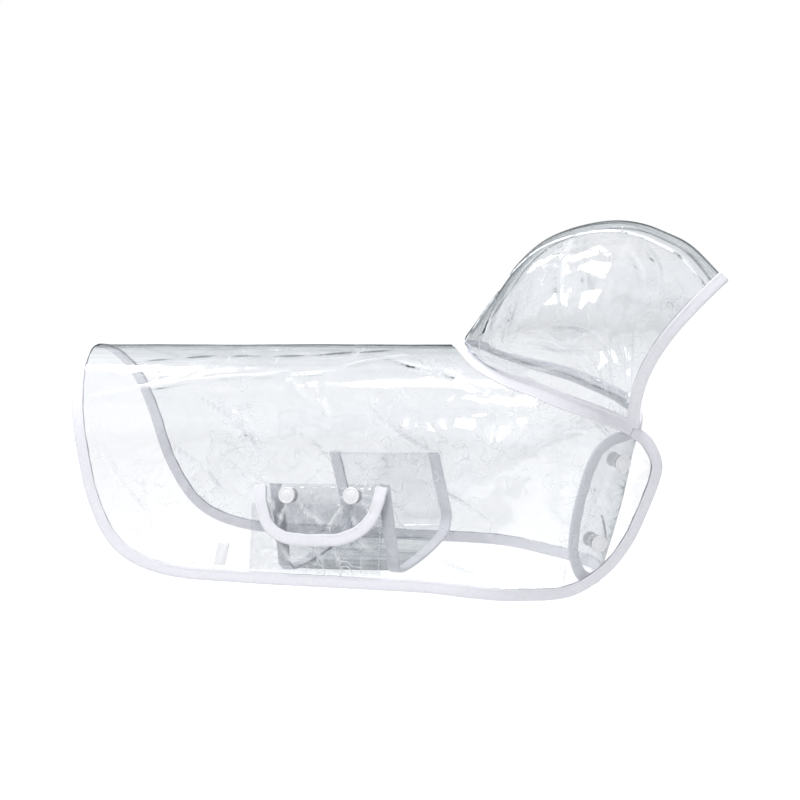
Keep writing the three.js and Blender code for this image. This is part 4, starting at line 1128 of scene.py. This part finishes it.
linked(
    crinkle,
    (place.outputs["Object"], soft.inputs["Vector"]),
    (inside.outputs["Scale"], soft.inputs["Scale"]),
    (soft.outputs["Fac"], valley.inputs[0]),
    (valley.outputs["Value"], facets.inputs[0]),
    (facets.outputs["Value"], ground.inputs[0]),
    (soft.outputs["Fac"], ground.inputs[2]),
    (ground.outputs["Value"], height.inputs[0]),
    (inside.outputs["Height"], height.inputs[1]),
    (flat.outputs["UV"], stretch.inputs["Vector"]),
    (stretch.outputs["Vector"], brushed.inputs["Vector"]),
    (brushed.outputs["Fac"], centred.inputs[0]),
    (centred.outputs["Value"], streak.inputs[0]),
    (inside.outputs["Streaks"], streak.inputs[1]),
    (marks.outputs["Fac"], white.inputs["Value"]),
    (marks.outputs["Fac"], grey.inputs["Value"]),
    (height.outputs["Value"], out.inputs["Height"]),
    (soft.outputs["Fac"], out.inputs["Mask"]),
    (streak.outputs["Value"], out.inputs["Streak"]),
    (place.outputs["Object"], veins.inputs["Vector"]),
    (veins.outputs["Fac"], veins_middle.inputs[0]),
    (veins_middle.outputs["Value"], veins_size.inputs[0]),
    (veins_size.outputs["Value"], hairline.inputs["Value"]),
    (place.outputs["Object"], patches.inputs["Vector"]),
    (patches.outputs["Fac"], patch.inputs["Value"]),
    (hairline.outputs["Result"], in_patch.inputs[0]),
    (patch.outputs["Result"], in_patch.inputs[1]),
    (in_patch.outputs["Value"], hair_share.inputs[0]),
    (inside.outputs["Painted Hairlines"], hair_share.inputs[1]),
    (hair_share.outputs["Value"], painted_highlights.inputs[0]),
    (white.outputs["Result"], painted_highlights.inputs[1]),
    (painted_highlights.outputs["Value"], out.inputs["White"]),
    (grey.outputs["Result"], out.inputs["Painted Crease Shade"]),
)


# %% Clear film
# facing share, then the red, green and blue that one face of the film lets through
FILM_TINT = [
    (0.0, 0.958, 0.961, 0.966),
    (0.5, 0.945, 0.95, 0.956),
    (0.8, 0.87, 0.885, 0.89),
    (0.92, 0.50, 0.54, 0.56),
    (1.0, 0.12, 0.15, 0.16),
]


def film_material(name, haze, crinkle_scale, crinkle_height, streaks, painted_hairlines):
    """Clear film: see-through face on, grey and glossy at a slant, with a painted white highlight along its creases
    and hairlines and painted shade beside the creases.
    """
    material, tree = new_material(name)
    group = add(tree, "ShaderNodeGroup")
    group.node_tree = crinkle
    group.inputs["Scale"].default_value = crinkle_scale
    group.inputs["Height"].default_value = crinkle_height
    group.inputs["Streaks"].default_value = streaks
    group.inputs["Painted Hairlines"].default_value = painted_hairlines
    bump = add(tree, "ShaderNodeBump", inputs={"Strength": 0.3, "Distance": 0.00025})
    slant = add(tree, "ShaderNodeLayerWeight", inputs={"Blend": 0.5})
    shifted = add(tree, "ShaderNodeMath", operation="ADD")
    # the painted shade beside the creases darkens what the film lets through
    shaded = add(tree, "ShaderNodeMath", operation="MULTIPLY_ADD", inputs={1: 0.85})
    tint = add(tree, "ShaderNodeValToRGB")
    stops = tint.color_ramp.elements
    for _ in FILM_TINT[2:]:
        stops.new(0.5)
    for stop, (position, *color) in zip(stops, FILM_TINT):
        stop.position, stop.color = position, (*color, 1)
    clear = add(tree, "ShaderNodeBsdfTransparent")
    gloss = add(tree, "ShaderNodeBsdfAnisotropic", inputs={"Roughness": 0.06, "Color": (1, 1, 1, 1)})
    steep = add(tree, "ShaderNodeMath", operation="POWER", inputs={1: 4.5})
    mirror = add(tree, "ShaderNodeMath", operation="MULTIPLY_ADD", inputs={1: 0.5, 2: 0.075})
    sheet = add(tree, "ShaderNodeMixShader")
    milk = add(tree, "ShaderNodeBsdfPrincipled", inputs={"Base Color": (0.9, 0.91, 0.93, 1), "Roughness": 0.3})
    whole = add(tree, "ShaderNodeMixShader")
    base = add(tree, "ShaderNodeMapRange", inputs={"From Min": 0.3, "From Max": 0.8, "To Max": haze * 2})
    # the painted highlights turn the film milky white along crests and hairlines, on top of its haze
    amount = add(tree, "ShaderNodeMath", operation="MULTIPLY_ADD", inputs={1: 0.6}, use_clamp=True)
    output = add(tree, "ShaderNodeOutputMaterial")
    linked(
        tree,
        (group.outputs["Height"], bump.inputs["Height"]),
        (bump.outputs["Normal"], gloss.inputs["Normal"]),
        (bump.outputs["Normal"], milk.inputs["Normal"]),
        (slant.outputs["Facing"], shifted.inputs[0]),
        (group.outputs["Streak"], shifted.inputs[1]),
        (group.outputs["Painted Crease Shade"], shaded.inputs[0]),
        (shifted.outputs["Value"], shaded.inputs[2]),
        (shaded.outputs["Value"], tint.inputs["Fac"]),
        (tint.outputs["Color"], clear.inputs["Color"]),
        (slant.outputs["Facing"], steep.inputs[0]),
        (steep.outputs["Value"], mirror.inputs[0]),
        (mirror.outputs["Value"], sheet.inputs["Fac"]),
        (clear.outputs["BSDF"], sheet.inputs[1]),
        (gloss.outputs["BSDF"], sheet.inputs[2]),
        (group.outputs["Mask"], base.inputs["Value"]),
        (group.outputs["White"], amount.inputs[0]),
        (base.outputs["Result"], amount.inputs[2]),
        (amount.outputs["Value"], whole.inputs["Fac"]),
        (sheet.outputs["Shader"], whole.inputs[1]),
        (milk.outputs["BSDF"], whole.inputs[2]),
        (whole.outputs["Shader"], output.inputs["Surface"]),
    )
    return material


# haze, crinkle scale and height, streaks, then the strength of the painted hairline highlights
clear_film = film_material("clear_film", 0.03, 55.0, 1.0, 0.8, 0.5)
hood_film = film_material("hood_film", 0.03, 60.0, 1.0, 1.5, 0.4)
pocket_film = film_material("pocket_film_finish", 0.06, 110.0, 1.6, 0.4, 1.0)
welded_film = film_material("welded_film", 1.1, 160.0, 0.5, 0.2, 0.0)
for piece in (cape, band):
    piece.data.materials.append(clear_film)
for piece in (hood_right, hood_left, hood_crown):
    piece.data.materials.append(hood_film)
for piece in (pocket, flap):
    piece.data.materials.append(pocket_film)
for piece in strips:
    piece.data.materials.append(welded_film)

# %% Weave group
weave, inside, out = node_group(
    "tape_weave",
    [("Threads", FLOAT, 2200.0), ("Light", COLOR, (0.9, 0.9, 0.93, 1)), ("Shade", COLOR, (0.7, 0.7, 0.78, 1))],
    [("Color", COLOR), ("Height", FLOAT)],
)
place = add(weave, "ShaderNodeUVMap", uv_map="UVMap")
along_wave = add(weave, "ShaderNodeTexWave", bands_direction="X", inputs={"Distortion": 0.6, "Detail": 1.0})
across_wave = add(weave, "ShaderNodeTexWave", bands_direction="Y", inputs={"Distortion": 0.6, "Detail": 1.0})
height = add(weave, "ShaderNodeMath", operation="MULTIPLY")
blot = add(weave, "ShaderNodeTexNoise", inputs={"Scale": 420.0, "Detail": 3.0})
# the low threads get the Shade colour: painted lavender shade in the weave's hollows; the blots mix it in at random
# as tone
share = add(weave, "ShaderNodeMath", operation="MULTIPLY_ADD", inputs={1: 0.55}, use_clamp=True)
mix = add(weave, "ShaderNodeMix", data_type="RGBA")
for wave in (along_wave, across_wave):
    weave.links.new(place.outputs["UV"], wave.inputs["Vector"])
    weave.links.new(inside.outputs["Threads"], wave.inputs["Scale"])
weave.links.new(along_wave.outputs["Fac"], height.inputs[0])
weave.links.new(across_wave.outputs["Fac"], height.inputs[1])
weave.links.new(place.outputs["UV"], blot.inputs["Vector"])
weave.links.new(height.outputs["Value"], share.inputs[0])
weave.links.new(blot.outputs["Fac"], share.inputs[2])
weave.links.new(share.outputs["Value"], mix.inputs["Factor"])
weave.links.new(inside.outputs["Shade"], mix.inputs[6])
weave.links.new(inside.outputs["Light"], mix.inputs[7])
weave.links.new(mix.outputs[2], out.inputs["Color"])
weave.links.new(height.outputs["Value"], out.inputs["Height"])


# %% Woven tape, thread and snap resin
def tape_material(name, light, shade):
    """Matt woven tape, with painted lavender shade in the hollows of its weave."""
    material, tree = new_material(name)
    group = add(tree, "ShaderNodeGroup")
    group.node_tree = weave
    group.inputs["Light"].default_value = light
    group.inputs["Shade"].default_value = shade
    bump = add(tree, "ShaderNodeBump", inputs={"Strength": 0.5, "Distance": 0.00012})
    cloth = add(tree, "ShaderNodeBsdfPrincipled", inputs={"Roughness": 0.78, "Sheen Weight": 0.25})
    output = add(tree, "ShaderNodeOutputMaterial")
    tree.links.new(group.outputs["Height"], bump.inputs["Height"])
    tree.links.new(bump.outputs["Normal"], cloth.inputs["Normal"])
    tree.links.new(group.outputs["Color"], cloth.inputs["Base Color"])
    tree.links.new(cloth.outputs["BSDF"], output.inputs["Surface"])
    return material


def plain_material(name, color, roughness, mottle, bump_scale):
    """A plain finish with a faint uneven tone and grain."""
    material, tree = new_material(name)
    place = add(tree, "ShaderNodeTexCoord")
    noise = add(tree, "ShaderNodeTexNoise", inputs={"Scale": bump_scale, "Detail": 3.0})
    mix = add(tree, "ShaderNodeMix", data_type="RGBA")
    mix.inputs[6].default_value = (*color, 1)
    mix.inputs[7].default_value = (*(channel * (1 - mottle) for channel in color), 1)
    bump = add(tree, "ShaderNodeBump", inputs={"Strength": 0.15, "Distance": 0.0001})
    body = add(tree, "ShaderNodeBsdfPrincipled", inputs={"Roughness": roughness, "Subsurface Weight": 0.0})
    output = add(tree, "ShaderNodeOutputMaterial")
    tree.links.new(place.outputs["Object"], noise.inputs["Vector"])
    tree.links.new(noise.outputs["Fac"], mix.inputs["Factor"])
    tree.links.new(noise.outputs["Fac"], bump.inputs["Height"])
    tree.links.new(mix.outputs[2], body.inputs["Base Color"])
    tree.links.new(bump.outputs["Normal"], body.inputs["Normal"])
    tree.links.new(body.outputs["BSDF"], output.inputs["Surface"])
    return material


# the thread colour, then the painted lavender shade of the weave's hollows
woven_tape = tape_material("woven_tape", (0.94, 0.93, 0.97, 1), (0.78, 0.77, 0.84, 1))
thread = plain_material("white_thread", (0.84, 0.84, 0.87), 0.6, 0.15, 900.0)
snap_resin = plain_material("snap_resin", (0.86, 0.855, 0.87), 0.28, 0.06, 260.0)
# the tab's tape: a brighter copy of the woven tape, painted light, since the tab shows whiter only because more
# light falls on it
tab_tape_painted_light = tape_material("tab_tape_painted_light", (0.97, 0.97, 0.98, 1), (0.88, 0.88, 0.91, 1))
for piece in (hem_binding, face_binding, neck_binding, flap_binding, *band_tapes):
    piece.data.materials.append(woven_tape)
tab.data.materials.append(tab_tape_painted_light)
stitches.data.materials.append(thread)
for piece in caps:
    piece.data.materials.append(snap_resin)
for name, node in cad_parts.items():
    if name.endswith(("_stud", "_socket", "_back")):
        for slot in node.material_slots:
            slot.material = snap_resin
print("materials:", len(bpy.data.materials))

# %% [markdown]
# ## Camera, floor and light
# The camera stands where the photograph was taken. The glare patches on the film are mirror images
# of soft boxes, so each lamp hangs where the film at that place would mirror it into the camera.

# %% Camera
CAMERA_AT = Vector((0.4580, -1.4446, 0.1436))
CAMERA_AIM = Vector((0.09783, 0.0, -0.03917))
camera_data = bpy.data.cameras.new("camera")
camera_data.lens = 90
camera_data.sensor_width = 36
camera = bpy.data.objects.new("camera", camera_data)
camera.location = CAMERA_AT
camera.rotation_euler = (CAMERA_AIM - CAMERA_AT).to_track_quat("-Z", "Y").to_euler()
bpy.context.collection.objects.link(camera)
bpy.context.scene.camera = camera

# %% Floor and surroundings
FLOOR_Z = -0.245
floor = make_mesh("floor", np.array([(x, y, FLOOR_Z / MM) for y in (-6000, 6000) for x in (-6000, 6000)]), [(0, 1, 3, 2)])
floor_finish = plain_material("pale_floor", (0.5, 0.5, 0.505), 0.9, 0.02, 3.0)
floor_tree = floor_finish.node_tree
floor_body = next(node for node in floor_tree.nodes if node.type == "BSDF_PRINCIPLED")
floor_body.inputs["Emission Color"].default_value = (1, 1, 1, 1)
glow = add(floor_tree, "ShaderNodeMath", operation="MULTIPLY_ADD", inputs={1: 0.26, 2: 0.40})
floor_rays = add(floor_tree, "ShaderNodeLightPath")
linked(
    floor_tree,
    (floor_rays.outputs["Is Camera Ray"], glow.inputs[0]),
    (glow.outputs["Value"], floor_body.inputs["Emission Strength"]),
)
floor.data.materials.append(floor_finish)
world = bpy.data.worlds.new("studio")
world.use_nodes = True
sky = world.node_tree
backdrop = sky.nodes["Background"]
direction = add(sky, "ShaderNodeTexCoord")
parts = add(sky, "ShaderNodeSeparateXYZ")
blots = add(sky, "ShaderNodeTexNoise", inputs={"Scale": 2.6, "Detail": 4.0, "Roughness": 0.6})
rise = add(sky, "ShaderNodeMath", operation="MULTIPLY_ADD", inputs={1: 0.55, 2: -0.1})
height = add(sky, "ShaderNodeMath", operation="ADD")
shades = add(sky, "ShaderNodeValToRGB")
for position, shade in ((0.30, 0.45), (0.42, 0.06), (0.52, 0.22), (0.66, 0.7)):
    stop = shades.color_ramp.elements.new(position)
    stop.color = (shade * 0.95, shade, shade * 1.03, 1)
shades.color_ramp.elements[0].color = (0.6, 0.6, 0.62, 1)
shades.color_ramp.elements[-1].color = (0.95, 0.95, 0.97, 1)
rays = add(sky, "ShaderNodeLightPath")
seen = add(sky, "ShaderNodeMix", data_type="RGBA")
seen.inputs[7].default_value = (1, 1, 1, 1)
sky.links.new(direction.outputs["Generated"], parts.inputs["Vector"])
sky.links.new(direction.outputs["Generated"], blots.inputs["Vector"])
sky.links.new(parts.outputs["Z"], rise.inputs[0])
sky.links.new(rise.outputs["Value"], height.inputs[0])
sky.links.new(blots.outputs["Fac"], height.inputs[1])
sky.links.new(height.outputs["Value"], shades.inputs["Fac"])
sky.links.new(rays.outputs["Is Camera Ray"], seen.inputs["Factor"])
sky.links.new(shades.outputs["Color"], seen.inputs[6])
sky.links.new(seen.outputs[2], backdrop.inputs["Color"])
backdrop.inputs["Strength"].default_value = 1.0
LAMP_SHARE = 1.0
bpy.context.scene.world = world


# %% Lamps
def soft_box(name, spot, normal, distance, size, power):
    """A rectangular lamp that the film at a spot mirrors into the camera."""
    spot, normal = Vector(spot), Vector(normal).normalized()
    to_camera = (CAMERA_AT - spot).normalized()
    ahead = 2 * to_camera.dot(normal) * normal - to_camera
    data = bpy.data.lights.new(name, "AREA")
    data.shape = "RECTANGLE"
    data.size, data.size_y = size
    data.energy = power * LAMP_SHARE
    lamp = bpy.data.objects.new(name, data)
    lamp.location = spot + ahead * distance
    lamp.rotation_euler = (-ahead).to_track_quat("-Z", "Y").to_euler()
    bpy.context.collection.objects.link(lamp)
    print(name, [round(v, 2) for v in lamp.location])


# along, around, distance, width, height, power
GLARES = {
    "tail_light": (-112.0, -46.0, 1.3, 0.15, 0.45, 5.0),
    "shoulder_light": (168.0, -60.0, 1.3, 0.2, 0.4, 6.0),
    "shoulder_low_light": (185.0, -93.0, 1.3, 0.1, 0.3, 2.2),
}
for name, (along, around, distance, width, tall, power) in GLARES.items():
    seat = np.array([along, around, 90.0, 0.0])
    soft_box(name, form_points(seat) * MM, form_normals(seat), distance, (width, tall), power)
hood_spot = arch_points(-1, np.array([[5.9, 6.0], [6.1, 6.0]]), np.array([[0.72, 0.72], [0.72, 0.74]]))
hood_normal = unit(np.cross(hood_spot[0, 0] - hood_spot[1, 0], hood_spot[1, 1] - hood_spot[1, 0]))
if hood_normal[1] > 0:
    hood_normal = -hood_normal
soft_box("hood_light", hood_spot[0, 1] * MM, hood_normal, 1.3, (0.2, 0.3), 4.5)
scene = bpy.context.scene
scene.view_settings.view_transform = "Standard"
scene.cycles.transparent_max_bounces = 16
scene.cycles.max_bounces = 5
scene.cycles.diffuse_bounces = 2
scene.cycles.glossy_bounces = 3
